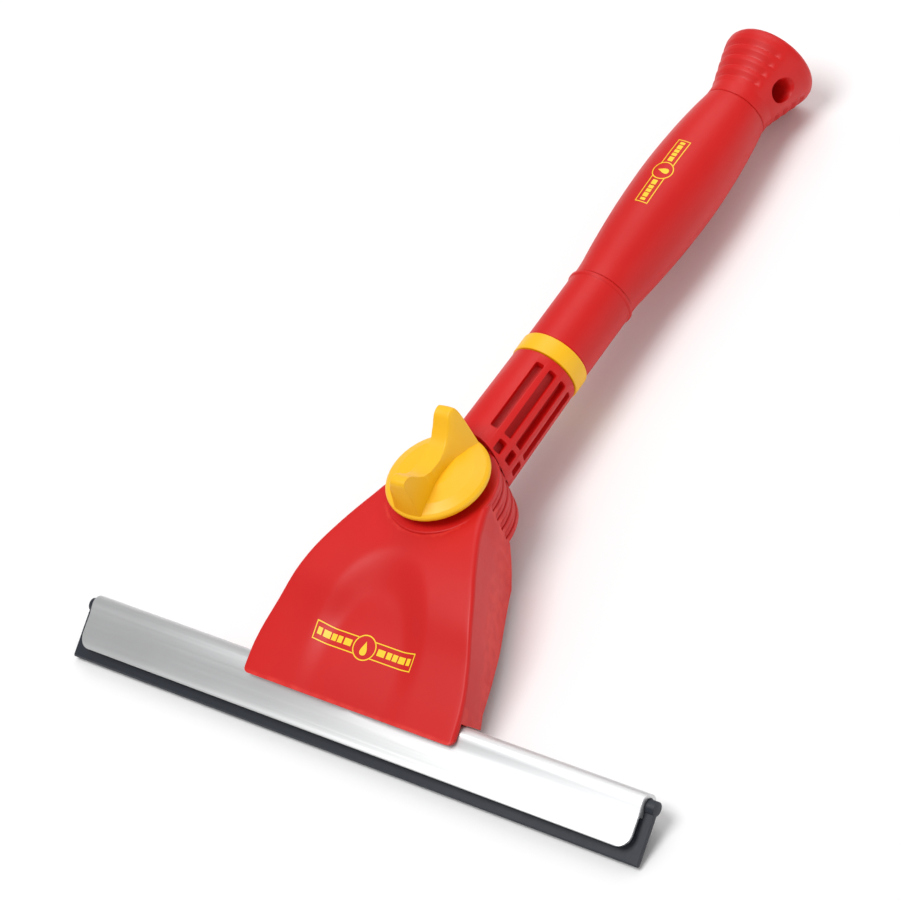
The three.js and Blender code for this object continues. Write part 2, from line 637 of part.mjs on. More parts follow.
const gripSide = smooth(
  [
    [GRIP_START_RADIUS, gripStart],
    [GRIP_START_RADIUS + 0.2, gripStart + 6],
    [GRIP_MAX_RADIUS - 1.9, GRIP_MAX_AT - 38],
    [GRIP_MAX_RADIUS - 0.5, GRIP_MAX_AT - 20],
    [GRIP_MAX_RADIUS, GRIP_MAX_AT],
    [GRIP_MAX_RADIUS - 0.8, GRIP_MAX_AT + 18],
    [GRIP_END_RADIUS + 1.3, GRIP_END - 9],
    [GRIP_END_RADIUS, GRIP_END],
  ],
  24,
);
const tailHole = tailRadius + GAP;
const grip = cut(
  turned([[0, gripStart], ...gripSide, [0, GRIP_END]]),
  barY(tailHole, tailHole, gripStart - 1, barrelTail + GAP),
  barY(coreHole, coreHole, barrelTail, GRIP_END + 1),
);
piece("grip", grip, RED, 0.45);

const capStart = GRIP_END + GAP;
const capEnd = capStart + CAP_LENGTH;
const flareTop = capEnd - 4;
const plugRadius = CORE_RADIUS - CORE_WALL - GAP;
const flareStart = capStart + 4.5;
const grooveStart = flareStart + 2.5;
const groovePitch = (flareTop - grooveStart) / CAP_GROOVES;

/** Radius of the cap's flare at a height, before its grooves. */
function flare(y) {
  const share = Math.max(0, (y - flareStart) / (flareTop - flareStart));
  return GRIP_END_RADIUS + (CAP_RADIUS - GRIP_END_RADIUS) * share;
}
const ringed = Array.from({ length: CAP_GROOVES }, (_, i) => {
  const y = grooveStart + i * groovePitch;
  const step = groovePitch / 4;
  const floor = flare(y + 1.5 * step) - CAP_GROOVE_DEPTH;
  return [[flare(y), y], [floor, y + 0.6], [floor + 0.3, y + 2 * step - 0.6], [flare(y + 2 * step), y + 2 * step]];
}).flat();
const capOutside = turned([
  [0, capStart - CORE_OVERLAP],
  [plugRadius, capStart - CORE_OVERLAP],
  [plugRadius, capStart],
  [GRIP_END_RADIUS, capStart],
  [GRIP_END_RADIUS, flareStart],
  ...ringed,
  [CAP_RADIUS, flareTop],
  [CAP_RADIUS, capEnd - 1.6],
  [CAP_RADIUS - 0.7, capEnd - 0.4],
  [CAP_RADIUS - 2, capEnd],
  [0, capEnd],
]);
const hangAt = capEnd - HANG_HOLE_FROM_END;
const hangHole = new THREE.CylinderGeometry(HANG_HOLE_RADIUS, HANG_HOLE_RADIUS, 60, 24);
hangHole.rotateX(Math.PI / 2).rotateY(turn(HANG_HOLE_ANGLE)).translate(0, hangAt, 0);
piece("end_cap", cut(capOutside, solid(hangHole)), RED, 0.4);

// ---- Laid on its back: the blade's edge and the cap's rim both touch Z = 0 ----
const [edgeY, edgeZ] = onBlade([rubberFoot, -halfSheet + 0.5]);
const rimY = capEnd - 1.6;
const rimZ = -CAP_RADIUS * Math.cos(Math.PI / SIDES);
const lie = -Math.atan2(rimZ - edgeZ, rimY - edgeY);
const squeegee = new THREE.Group();
squeegee.name = "window_squeegee";
tool.rotation.x = lie;
squeegee.add(tool);
squeegee.updateMatrixWorld(true);
const bounds = new THREE.Box3().setFromObject(squeegee, true);
const middle = bounds.getCenter(new THREE.Vector3());
tool.position.set(-middle.x, -middle.y, -bounds.min.z);
squeegee.updateMatrixWorld(true);

export default squeegee;
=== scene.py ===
"""A window squeegee with a swivelling head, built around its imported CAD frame.

Pieces are drawn in millimetres in the tool's own directions (X along the blade, Y up the handle,
Z out of the face with the wing knob) and are then laid where the frame's joints say.
"""
import json
import math

import bmesh
import bpy
from bpy.props import FloatProperty, FloatVectorProperty, PointerProperty
from mathutils import Matrix, Vector


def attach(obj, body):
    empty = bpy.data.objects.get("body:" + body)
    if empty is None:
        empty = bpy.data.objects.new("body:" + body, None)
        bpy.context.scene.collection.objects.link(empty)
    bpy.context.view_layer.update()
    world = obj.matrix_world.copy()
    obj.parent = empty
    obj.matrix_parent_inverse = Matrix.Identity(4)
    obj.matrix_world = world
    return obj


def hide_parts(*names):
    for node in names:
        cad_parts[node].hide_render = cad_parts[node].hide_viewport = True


bl_info = {
    "name": "Window Squeegee",
    "version": (1, 0, 0),
    "blender": (4, 5, 0),
    "location": "View3D > Sidebar > Squeegee",
    "description": "Builds a window squeegee with a clamped swivel head and a pull-off handle",
    "category": "Add Mesh",
}

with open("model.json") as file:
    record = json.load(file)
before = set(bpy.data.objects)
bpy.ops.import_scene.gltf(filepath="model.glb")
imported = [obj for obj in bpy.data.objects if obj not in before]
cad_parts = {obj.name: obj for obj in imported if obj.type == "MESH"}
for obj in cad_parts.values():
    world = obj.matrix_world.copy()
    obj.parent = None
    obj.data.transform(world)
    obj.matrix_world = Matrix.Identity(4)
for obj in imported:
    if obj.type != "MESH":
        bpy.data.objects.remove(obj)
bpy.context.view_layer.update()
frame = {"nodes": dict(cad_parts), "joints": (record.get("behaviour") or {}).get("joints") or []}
MM = 0.001

# ---- Fixed sizes of the frame's solids, mm and degrees, which the pieces have to meet ----
GAP = 0.3
BLADE_TILT = math.radians(28)
BLADE_DROP = 72.2
BLADE_SET_BACK = 24.2
BEAD_RADIUS = 2.5
RUBBER_FOOT = -19.8
HALF_SHEET = 1.0
RAIL_TOP = 4.2
RAIL_FOOT = -15.6
RAIL_FACE = 4.6
RAIL_WALL = 1.4
RAIL_LIP = 4.4
RAIL_HALF = 121.5
RAIL_CORNER = 5.0
SEAT_TOP = 4.5
LIP_FOOT = -3.8
LIP_BACK = 5.4
LIP_FRONT = 7.8
BODY_HALF = 46.0
BODY_BACK = 8.5
BODY_DEPTH_BACK = 26.0
DRUM_RADIUS = 20.6
DRUM_FRONT = 8.4
DRUM_BACK = -14.0
FINGER_PITCH = 5.0
BODY_FINGER = 2.4
NECK_FINGER = 2.0
NECK_FINGERS = 4
KNOB_FOOT = 11.4
KNOB_RIM = 15.0
KNOB_RADIUS = 19.1
BOLT_HOLE = 3.3
SQUARE_HOLE = 6.1
BOLT_SEAT = -14.3
THRUST_FACE = 13.05
CLAMP_HALF = 40.7
SCREW_PLACE = 30
SCREW_HEIGHT = 11.5
NECK_START = 23.5
NECK_RADIUS = 13.6
NECK_BORE = 6.0
COLLAR_START = 62.0
COLLAR_END = 69.4
SPIGOT_RADIUS = 9.4
SPIGOT_END = 111.4
SOCKET_RADIUS = 9.7
TUBE_RADIUS = 8.7
GRIP_START = 101.3
GRIP_END = 195.5
GRIP_MOUTH = 12.5
CAP_START = 195.8
CAP_END = 223.8
CAP_RADIUS = 18.1
HANG_ANGLE = math.radians(78)
ROUND = 96  # steps of a full round

# ---- The tool's place: the pivot, the handle's direction and the pivot's direction ----
joints = {joint["name"]: joint for joint in frame["joints"]}
pivot_point = Vector(joints["head_swivel"]["pos_m"])
pivot_axis = Vector(joints["head_swivel"]["axis"]).normalized()
handle_axis = Vector(joints["handle_pull_off"]["axis"]).normalized()
blade_axis = handle_axis.cross(pivot_axis)
TURN = Matrix((blade_axis, handle_axis, pivot_axis)).transposed().to_4x4()
TOOL = Matrix.Translation(pivot_point) @ TURN @ Matrix.Scale(MM, 4)


# ---- Sizes and colours that a user would change ----
class SqueegeeSizes(bpy.types.PropertyGroup):
    """Sizes of the squeegee's soft shapes"""

    dish_depth: FloatProperty(
        description="How deep the hollow in the body's face is", default=0.0036, unit="LENGTH")
    dish_half_width: FloatProperty(
        description="Half the width of the hollow's arch", default=0.025, unit="LENGTH")
    body_edge: FloatProperty(
        description="Radius between the body's face and its sides", default=0.0016, unit="LENGTH")
    wall: FloatProperty(
        description="Thickness of the body's shell", default=0.0028, unit="LENGTH")
    pocket_width: FloatProperty(
        description="Width of the pockets cored into the neck", default=0.0034, unit="LENGTH")
    groove_depth: FloatProperty(
        description="Depth of the grooves round the end cap", default=0.0013, unit="LENGTH")
    wing_width: FloatProperty(
        description="Thickness of the knob's wing at its root", default=0.0084, unit="LENGTH")
    print_width: FloatProperty(
        description="Width of the printed badge on the body", default=0.043, unit="LENGTH")


class SqueegeeColours(bpy.types.PropertyGroup):
    """Colours of the squeegee's finishes"""

    red: FloatVectorProperty(
        description="Moulded red of the body and handle",
        subtype="COLOR", default=(0.62, 0.006, 0.005))
    # A lighter red painted along convex edges as a highlight.
    red_edge_highlight: FloatVectorProperty(
        description="Red where edges are rubbed", subtype="COLOR", default=(0.78, 0.045, 0.03))
    yellow: FloatVectorProperty(
        description="Moulded yellow of the knob and collar",
        subtype="COLOR", default=(0.95, 0.50, 0.0))
    # A lighter yellow painted along convex edges as a highlight.
    yellow_edge_highlight: FloatVectorProperty(
        description="Yellow where edges are rubbed", subtype="COLOR", default=(1.0, 0.72, 0.08))
    rubber: FloatVectorProperty(
        description="Blue-black of the blade", subtype="COLOR", default=(0.013, 0.017, 0.027))
    aluminium: FloatVectorProperty(
        description="Satin anodised rail", subtype="COLOR", default=(0.72, 0.725, 0.73))
    steel: FloatVectorProperty(
        description="Plated bolt, screws and washers", subtype="COLOR", default=(0.52, 0.53, 0.55))
    ink: FloatVectorProperty(
        description="Yellow printing ink", subtype="COLOR", default=(0.98, 0.62, 0.015))
    floor: FloatVectorProperty(
        description="Studio floor", subtype="COLOR", default=(0.9, 0.9, 0.9))


class SqueegeeStage(bpy.types.PropertyGroup):
    """Where the camera stands"""

    azimuth: FloatProperty(
        description="Camera's bearing from the front towards the right", subtype="ANGLE",
        default=math.radians(55.38))
    elevation: FloatProperty(
        description="Camera's height above the horizon", subtype="ANGLE",
        default=math.radians(46.03))
    roll: FloatProperty(
        description="Camera's turn about its own line of sight", subtype="ANGLE",
        default=math.radians(-29.15))
    distance: FloatProperty(
        description="From the camera to the point it looks at", default=1.2767, unit="LENGTH")
    lens: FloatProperty(
        description="Focal length of the lens in millimetres", default=144.0)
    aim: FloatVectorProperty(
        description="Point the camera looks at",
        subtype="TRANSLATION", default=(-0.0214, -0.0411, 0.02))


# ---- Outlines ----
def on_blade(v, w):
    """The Y and Z of a point that lies v up the blade's face and w out of it."""
    cos, sin = math.cos(BLADE_TILT), math.sin(BLADE_TILT)
    return -BLADE_DROP + v * cos - w * sin, -BLADE_SET_BACK + v * sin + w * cos


def smooth_line(points, count):
    """Points of a smooth curve that passes through the given ones."""
    points = [Vector(p) for p in points]
    padded = [points[0], *points, points[-1]]
    line = []
    for i in range(count + 1):
        place = i * (len(points) - 1) / count
        k = min(int(place), len(points) - 2)
        t = place - k
        a, b, c, d = padded[k:k + 4]
        pull_in, pull_out = (c - a) / 2, (d - b) / 2
        line.append(
            b * (2 * t ** 3 - 3 * t * t + 1) + pull_in * (t ** 3 - 2 * t * t + t)
            + c * (3 * t * t - 2 * t ** 3) + pull_out * (t ** 3 - t * t))
    return [tuple(p) for p in line]


def arc(centre, radius, start, end, steps):
    """Points of an arc, angles in degrees."""
    angles = [math.radians(start + (end - start) * i / steps) for i in range(steps + 1)]
    return [(centre[0] + radius * math.cos(a), centre[1] + radius * math.sin(a)) for a in angles]


def soften(points, radius, closed=True, steps=4, least=20.0):
    """The outline with its corners rounded to about a radius."""
    points = [Vector(p) for p in points]
    count = len(points)
    rounded = []
    for i, point in enumerate(points):
        ends = not closed and i in (0, count - 1)
        before, after = points[i - 1] - point, points[(i + 1) % count] - point
        turn = math.pi - before.angle(after, math.pi) if before.length and after.length else 0
        if ends or math.degrees(turn) < least:
            rounded.append(point)
            continue
        reach = min(radius * math.tan(turn / 2), 0.45 * before.length, 0.45 * after.length)
        first = point + before.normalized() * reach
        last = point + after.normalized() * reach
        for step in range(steps + 1):
            t = step / steps
            rounded.append(first * (1 - t) ** 2 + point * 2 * t * (1 - t) + last * t * t)
    return [tuple(p) for p in rounded]


def value_on(line, place):
    """The second value of a line at a place along its first, which rises."""
    if place <= line[0][0]:
        first, second = line[0], line[1]
    elif place >= line[-1][0]:
        first, second = line[-2], line[-1]
    else:
        k = next(i for i in range(1, len(line)) if line[i][0] >= place)
        first, second = line[k - 1], line[k]
    share = (place - first[0]) / (second[0] - first[0])
    return first[1] + share * (second[1] - first[1])


def ease(value, low, high):
    """0 below low, 1 above high, and smooth between them."""
    t = min(max((value - low) / (high - low), 0), 1)
    return t * t * (3 - 2 * t)


# ---- Mesh building, mm ----
def as_object(name, bm):
    """A new object from a finished bmesh."""
    mesh = bpy.data.meshes.new(name)
    bm.to_mesh(mesh)
    bm.free()
    piece = bpy.data.objects.new(name, mesh)
    bpy.context.scene.collection.objects.link(piece)
    return piece


def bevel(bm, edges, width, segments=2):
    """Rounds edges to about a width."""
    bmesh.ops.bevel(
        bm, geom=edges, offset=width, offset_type="OFFSET", segments=segments, profile=0.5,
        affect="EDGES", material=-1, clamp_overlap=True)


def prism(name, points, offset, edge=0.0, segments=2):
    """A flat outline of 3-D points pushed along an offset, with its rims bevelled."""
    bm = bmesh.new()
    face = bm.faces.new([bm.verts.new(p) for p in points])
    made = bmesh.ops.extrude_face_region(bm, geom=[face])
    moved = [v for v in made["geom"] if isinstance(v, bmesh.types.BMVert)]
    bmesh.ops.translate(bm, vec=offset, verts=moved)
    bmesh.ops.recalc_face_normals(bm, faces=bm.faces[:])
    if edge:
        along = Vector(offset).normalized()
        spans = [(e, (e.verts[0].co - e.verts[1].co).normalized()) for e in bm.edges]
        rims = [e for e, way in spans if abs(way.dot(along)) < 0.5 and len(e.link_faces) == 2]
        bevel(bm, rims, edge, segments)
    return as_object(name, bm)


def side_prism(name, points, width, edge=0.0):
    """An outline in Y and Z pushed along X over a width about the middle."""
    return prism(name, [(-width / 2, y, z) for y, z in points], (width, 0, 0), edge)


def front_prism(name, points, back, front, edge=0.0, segments=2):
    """An outline in X and Y pushed along Z."""
    return prism(name, [(x, y, back) for x, y in points], (0, 0, front - back), edge, segments)


def blade_prism(name, points, back, front, edge=0.0, segments=2):
    """An outline in X and v pushed through the blade along w."""
    low = [(x, *on_blade(v, back)) for x, v in points]
    first, last = Vector((0, *on_blade(0, back))), Vector((0, *on_blade(0, front)))
    return prism(name, low, last - first, edge, segments)


def lathe(name, profile, axis, closed=False, steps=ROUND):
    """A profile of radius and height spun about the handle's axis, "Y", or the pivot, "Z"."""
    up = Vector((0, 1, 0)) if axis == "Y" else Vector((0, 0, 1))
    bm = bmesh.new()
    verts = [bm.verts.new(Vector((r, 0, 0)) + up * h) for r, h in profile]
    ring = verts + verts[:1] if closed else verts
    edges = [bm.edges.new(pair) for pair in zip(ring, ring[1:])]
    bmesh.ops.spin(
        bm, geom=verts + edges, cent=(0, 0, 0), axis=up, dvec=(0, 0, 0), angle=math.tau, steps=steps,
        use_merge=True, use_duplicate=False)
    bmesh.ops.remove_doubles(bm, verts=bm.verts[:], dist=1e-4)
    bmesh.ops.recalc_face_normals(bm, faces=bm.faces[:])
    return as_object(name, bm)


def cylinder(name, radius, low, high, axis="Z", steps=48):
    """A solid cylinder between two heights on the handle's axis, "Y", or the pivot, "Z"."""
    return lathe(name, [(0, low), (radius, low), (radius, high), (0, high)], axis, steps=steps)


def move(piece, matrix):
    """The piece with its mesh moved."""
    piece.data.transform(matrix)
    return piece


def bake_modifiers(piece):
    """The object's modifiers made part of its mesh."""
    bpy.context.view_layer.update()
    seen = piece.evaluated_get(bpy.context.evaluated_depsgraph_get())
    mesh = bpy.data.meshes.new_from_object(seen)
    piece.modifiers.clear()
    old, piece.data = piece.data, mesh
    bpy.data.meshes.remove(old)
    return piece


def combine(target, operation, *others):
    """Joins others to the target or cuts it with them, and removes them.

    The operation is "UNION", "DIFFERENCE", or "INTERSECT" for what they share.
    """
    for other in others:
        step = target.modifiers.new(operation, "BOOLEAN")
        step.operation = operation
        step.solver = "EXACT"
        step.object = other
        bake_modifiers(target)
        bpy.data.objects.remove(other)
    return target


def tidy_mesh(piece):
    """Merges points that a cut left on top of each other, and drops slivers."""
    bm = bmesh.new()
    bm.from_mesh(piece.data)
    bmesh.ops.remove_doubles(bm, verts=bm.verts[:], dist=0.01)
    bmesh.ops.dissolve_degenerate(bm, edges=bm.edges[:], dist=0.005)
    bm.to_mesh(piece.data)
    bm.free()


def round_edges(piece, width, least):
    """Rounds each edge where the surface turns by more than an angle in degrees."""
    tidy_mesh(piece)
    rounding = piece.modifiers.new("edges", "BEVEL")
    rounding.width = width
    rounding.segments = 2
    rounding.limit_method = "ANGLE"
    rounding.angle_limit = math.radians(least)
    bake_modifiers(piece)


def finish_piece(piece, node, body, slot, angle=35.0):
    """Lays a finished piece in the frame, gives it its finish, and hides the frame's node that it takes
    the place of.
    """
    piece.data.transform(TOOL)
    piece.data.shade_smooth()
    piece.data.set_sharp_from_angle(angle=math.radians(angle))
    piece.data.materials.clear()
    piece.data.materials.append(finish_named(slot))
    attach(piece, body)
    if node:
        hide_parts(node)


# ---- Finishes ----
def object_place(tree):
    """The place on the object, for a texture to follow."""
    return tree.nodes.new("ShaderNodeTexCoord").outputs["Object"]


def feed(tree, socket, value):
    """Gives a socket a link, if the value is another socket, or a plain value."""
    if isinstance(value, bpy.types.NodeSocket):
        tree.links.new(value, socket)
    else:
        socket.default_value = value


def math_node(tree, operation, first, second, clamp=False):
    """A Math node fed by sockets or numbers."""
    node = tree.nodes.new("ShaderNodeMath")
    node.operation = operation
    node.use_clamp = clamp
    for socket, value in zip(node.inputs, (first, second)):
        feed(tree, socket, value)
    return node.outputs[0]


def mix_colour(tree, share, first, second):
    """A share of the second colour in the first."""
    node = tree.nodes.new("ShaderNodeMix")
    node.data_type = "RGBA"
    for index, value in ((0, share), (6, first), (7, second)):
        feed(tree, node.inputs[index], value)
    return node.outputs[2]


def noise_node(tree, vector, scale, detail):
    """A noise between 0 and 1."""
    node = tree.nodes.new("ShaderNodeTexNoise")
    node.inputs["Scale"].default_value = scale
    node.inputs["Detail"].default_value = detail
    tree.links.new(vector, node.inputs["Vector"])
    return node.outputs["Fac"]


def spread(tree, value, low, high, out_low, out_high):
    """A value's range stretched to another one, clamped."""
    node = tree.nodes.new("ShaderNodeMapRange")
    for name, number in zip(("From Min", "From Max", "To Min", "To Max"), (low, high, out_low, out_high)):
        node.inputs[name].default_value = number
    tree.links.new(value, node.inputs["Value"])
    return node.outputs[0]


def clouded(tree, colour, dark, noise, low, high, amount):
    """A colour that turns darker in soft clouds, given by the noise's scale and detail."""
    clouds = spread(tree, noise_node(tree, object_place(tree), *noise), low, high, 0.0, amount)
    return mix_colour(tree, clouds, (*colour, 1), (*[dark * c for c in colour], 1))


def start_group(name, inputs, outputs):
    """A node group and its first nodes. A float socket has a default, and a colour's is None."""
    group = bpy.data.node_groups.new(name, "ShaderNodeTree")
    for direction, sockets in (("INPUT", inputs), ("OUTPUT", outputs)):
        for label, default in sockets.items():
            kind = "NodeSocketColor" if default is None else "NodeSocketFloat"
            socket = group.interface.new_socket(name=label, in_out=direction, socket_type=kind)
            if default is not None:
                socket.default_value = default
    inside, outside = group.nodes.new("NodeGroupInput"), group.nodes.new("NodeGroupOutput")
    return group, inside.outputs, outside.inputs, object_place(group)


def painted_edge_highlight_group():
    """Colour with a painted highlight: lighter along convex edges, where pointiness is high, broken up by
    a fine noise.
    """
    group, given, result, place = start_group(
        "painted_edge_highlight", {"Colour": None, "Worn colour": None, "Amount": 0.5}, {"Colour": None, "Mask": 0.0})
    # Painted highlight: convex edges, found by pointiness, are mixed towards the lighter colour.
    bend = group.nodes.new("ShaderNodeNewGeometry").outputs["Pointiness"]
    edge = spread(group, bend, 0.56, 0.66, 0.0, 1.0)
    patch = spread(group, noise_node(group, place, 260.0, 6.0), 0.38, 0.62, 0.25, 1.0)
    highlighted = math_node(group, "MULTIPLY", edge, patch)
    mask = math_node(group, "MULTIPLY", highlighted, given["Amount"], True)
    feed(group, result["Colour"], mix_colour(group, mask, given["Colour"], given["Worn colour"]))
    feed(group, result["Mask"], mask)
    return group


def handling_group():
    """Roughness that is a little lower where the surface was handled, and higher where it is dull."""
    group, given, result, place = start_group(
        "handling_marks", {"Roughness": 0.4, "Spread": 0.06}, {"Roughness": 0.0})
    broad = spread(group, noise_node(group, place, 28.0, 3.0), 0.3, 0.7, -1.0, 1.0)
    fine = spread(group, noise_node(group, place, 420.0, 2.0), 0.3, 0.7, -0.35, 0.35)
    swing = math_node(group, "MULTIPLY", math_node(group, "ADD", broad, fine), given["Spread"])
    feed(group, result["Roughness"], math_node(group, "ADD", given["Roughness"], swing, True))
    return group


def grain_group():
    """The fine spark-eroded grain of a mould, as a height."""
    group, given, result, place = start_group("mould_grain", {"Scale": 1.0}, {"Height": 0.0})
    sized = group.nodes.new("ShaderNodeVectorMath")
    sized.operation = "SCALE"
    feed(group, sized.inputs[0], place)
    feed(group, sized.inputs["Scale"], given["Scale"])
    pits = math_node(group, "MULTIPLY", noise_node(group, sized.outputs[0], 2600.0, 3.0), 0.55)
    waves = math_node(group, "MULTIPLY", noise_node(group, sized.outputs[0], 240.0, 2.0), 0.45)
    feed(group, result["Height"], math_node(group, "ADD", pits, waves))
    return group


def brushed_group():
    """Fine drawn lines along X, as a height and as a change of roughness."""
    group, given, result, place = start_group(
        "drawn_lines", {"Roughness": 0.35}, {"Height": 0.0, "Roughness": 0.0})
    stretched = group.nodes.new("ShaderNodeMapping")
    stretched.inputs["Scale"].default_value = (6.0, 900.0, 900.0)
    feed(group, stretched.inputs["Vector"], place)
    lines = noise_node(group, stretched.outputs[0], 2.0, 3.0)
    cloud = noise_node(group, place, 30.0, 3.0)
    streaks = spread(group, lines, 0.3, 0.7, -0.05, 0.05)
    change = math_node(group, "ADD", streaks, spread(group, cloud, 0.3, 0.7, -0.03, 0.03))
    feed(group, result["Height"], lines)
    feed(group, result["Roughness"], math_node(group, "ADD", given["Roughness"], change, True))
    return group


GROUPS = {}
FINISHES = {}


def place_group(tree, maker, **values):
    """A node that stands for a shared group, which is made the first time."""
    if maker not in GROUPS:
        GROUPS[maker] = maker()
    node = tree.nodes.new("ShaderNodeGroup")
    node.node_tree = GROUPS[maker]
    for socket, value in values.items():
        node.inputs[socket.replace("_", " ")].default_value = value
    return node


def plain_material(name, **constants):
    """A material with one Principled shader and its plain values."""
    material = bpy.data.materials.new(name)
    material.use_nodes = True
    shader = material.node_tree.nodes["Principled BSDF"]
    for socket, value in constants.items():
        shader.inputs[socket.replace("_", " ")].default_value = value
    return material, material.node_tree, shader


def add_bump(tree, shader, height, strength, distance):
    """Lets a height tilt the surface."""
    bump = tree.nodes.new("ShaderNodeBump")
    bump.inputs["Strength"].default_value = strength
    bump.inputs["Distance"].default_value = distance
    tree.links.new(height, bump.inputs["Height"])
    tree.links.new(bump.outputs[0], shader.inputs["Normal"])


def moulded_material(
        name, colour, edge_highlight_colour, roughness, grain=1.0, edge_highlight_amount=0.5, depth=0.00006, mottle=0.5, **constants):
    """Injection-moulded plastic: mottled pigment, a painted highlight along convex edges, handling marks
    and mould grain.
    """
    material, tree, shader = plain_material(name, **constants)
    # Painted highlight: the colour goes lighter along convex edges.
    edges = place_group(tree, painted_edge_highlight_group, Worn_colour=(*edge_highlight_colour, 1), Amount=edge_highlight_amount)
    feed(tree, edges.inputs["Colour"], clouded(tree, colour, 0.86, (22.0, 4.0), 0.35, 0.65, mottle))
    feed(tree, shader.inputs["Base Color"], edges.outputs["Colour"])
    marks = place_group(tree, handling_group, Roughness=roughness, Spread=0.05)
    feed(tree, shader.inputs["Roughness"], marks.outputs[0])
    add_bump(tree, shader, place_group(tree, grain_group, Scale=grain).outputs[0], 0.35, depth)
    return material


def aluminium_material(colour):
    """Satin anodised metal with faint drawn lines."""
    material, tree, shader = plain_material("satin_aluminium", Metallic=1.0, Anisotropic=0.35)
    feed(tree, shader.inputs["Base Color"], clouded(tree, colour, 0.93, (16.0, 3.0), 0.3, 0.7, 0.35))
    lines = place_group(tree, brushed_group, Roughness=0.52)
    feed(tree, shader.inputs["Roughness"], lines.outputs["Roughness"])
    add_bump(tree, shader, lines.outputs["Height"], 0.18, 0.00003)
    return material


def steel_material(colour):
    """Zinc plating with fine spangles."""
    material, tree, shader = plain_material("zinc_plated_steel", Metallic=1.0)
    feed(tree, shader.inputs["Base Color"], clouded(tree, colour, 0.8, (300.0, 5.0), 0.35, 0.65, 1.0))
    marks = place_group(tree, handling_group, Roughness=0.32, Spread=0.08)
    feed(tree, shader.inputs["Roughness"], marks.outputs[0])
    return material


def finish_named(slot):
    """The material of a slot, made the first time it is asked for."""
    if slot in FINISHES:
        return FINISHES[slot]
    colours = bpy.context.scene.squeegee_colours
    if slot == "red_plastic":
        made = moulded_material(
            "moulded_red", colours.red, colours.red_edge_highlight, 0.42, edge_highlight_amount=0.5, Specular_IOR_Level=0.36)
    elif slot == "yellow_plastic":
        made = moulded_material(
            "moulded_yellow", colours.yellow, colours.yellow_edge_highlight, 0.40, edge_highlight_amount=0.4, mottle=0.4)
    # The rubber's lighter blue-grey along convex edges is a painted highlight.
    elif slot == "blade_rubber":
        made = moulded_material(
            slot, colours.rubber, (0.06, 0.07, 0.09), 0.55, grain=0.7, edge_highlight_amount=0.35, depth=0.00008)
    elif slot == "yellow_print":
        made = moulded_material(
            "printed_yellow", colours.ink, colours.ink, 0.38, edge_highlight_amount=0.0, depth=0.00002, mottle=0.25)
    elif slot == "rail_aluminium":
        made = aluminium_material(colours.aluminium)
    else:
        made = steel_material(colours.steel)
    FINISHES[slot] = made
    return made


# ---- The body's own surface ----
LIP_LINE = on_blade(LIP_FOOT, LIP_FRONT)
FACE_LINE = smooth_line(
    [
        LIP_LINE,
        on_blade(LIP_FOOT + 9, LIP_FRONT),
        (-BLADE_DROP * 0.77, DRUM_FRONT - 15.2),
        (-BLADE_DROP * 0.6, DRUM_FRONT - 7.8),
        (-BLADE_DROP * 0.43, DRUM_FRONT - 3.2),
        (-BLADE_DROP * 0.25, DRUM_FRONT - 0.7),
        (-BLADE_DROP * 0.12, DRUM_FRONT),
        (0, DRUM_FRONT),
    ],
    64,
)
SIDE_LINE = smooth_line(
    [
        (-BLADE_DROP - 12, BODY_HALF + 0.6),
        (-BLADE_DROP * 0.95, BODY_HALF),
        (-BLADE_DROP * 0.77, BODY_HALF * 0.93),
        (-BLADE_DROP * 0.53, (BODY_HALF + DRUM_RADIUS) * 0.55),
        (-BLADE_DROP * 0.36, DRUM_RADIUS + 10.4),
        (-BLADE_DROP * 0.17, DRUM_RADIUS + 4.2),
        (0, DRUM_RADIUS),
    ],
    64,
)
DISH_TOP = -26.0
DISH_LOW = -84.0
FACE_CROWN = 0.7


def dish_at(x, y, sizes):
    """How far the body's face is hollowed: deep under the arch, fading out towards the lip."""
    half = sizes.dish_half_width / MM
    tall = (DISH_TOP - DISH_LOW) / 1.35
    rise = max(0, y - (DISH_TOP - tall))
    reach = math.hypot(x / half, rise / tall)
    fade = ease(y, DISH_LOW + 8, DISH_TOP - 14)
    return sizes.dish_depth / MM * ease(reach, 1.0, 0.62) * (0.12 + 0.88 * fade)


def face_at(x, y, sizes):
    """Z of the body's face."""
    half = value_on(SIDE_LINE, y)
    crown = FACE_CROWN * min(x / half, 1) ** 2 * ease(y, -12, -40)
    return value_on(FACE_LINE, y) - crown - dish_at(x, y, sizes)


def body_block(sizes):
    """The bell as a block: cross-sections with rounded front edges, from the lip to the hinge."""
    rows, across, corner_steps = 72, 56, 6
    low, rear, rim = -95, -70.0, 12
    bm = bmesh.new()
    loops = []
    for row in range(rows + 1):
        y = low - low * row / rows
        half = value_on(SIDE_LINE, y)
        radius = sizes.body_edge / MM * (1 + 0.5 * ease(y, -50, -8))
        edge = face_at(half - radius, y, sizes)
        inner = half - radius
        between = [-inner + 2 * inner * k / across for k in range(1, across)]
        section = [
            (-half, rear), (-half, edge - radius - rim),
            *arc((-inner, edge - radius), radius, 180, 90, corner_steps),
            *[(x, face_at(x, y, sizes)) for x in between],
            *arc((inner, edge - radius), radius, 90, 0, corner_steps),
            (half, edge - radius - rim), (half, rear),
        ]
        verts = [bm.verts.new((x, y, z)) for x, z in section]
        edges = [bm.edges.new((verts[k - 1], verts[k])) for k in range(len(verts))]
        loops.append((verts, edges))
    for below, above in zip(loops, loops[1:]):
        bmesh.ops.bridge_loops(bm, edges=below[1] + above[1])
    for verts, _ in (loops[0], loops[-1]):
        bm.faces.new(verts)
    bmesh.ops.recalc_face_normals(bm, faces=bm.faces[:])
    return as_object("squeegee_body_shell", bm)


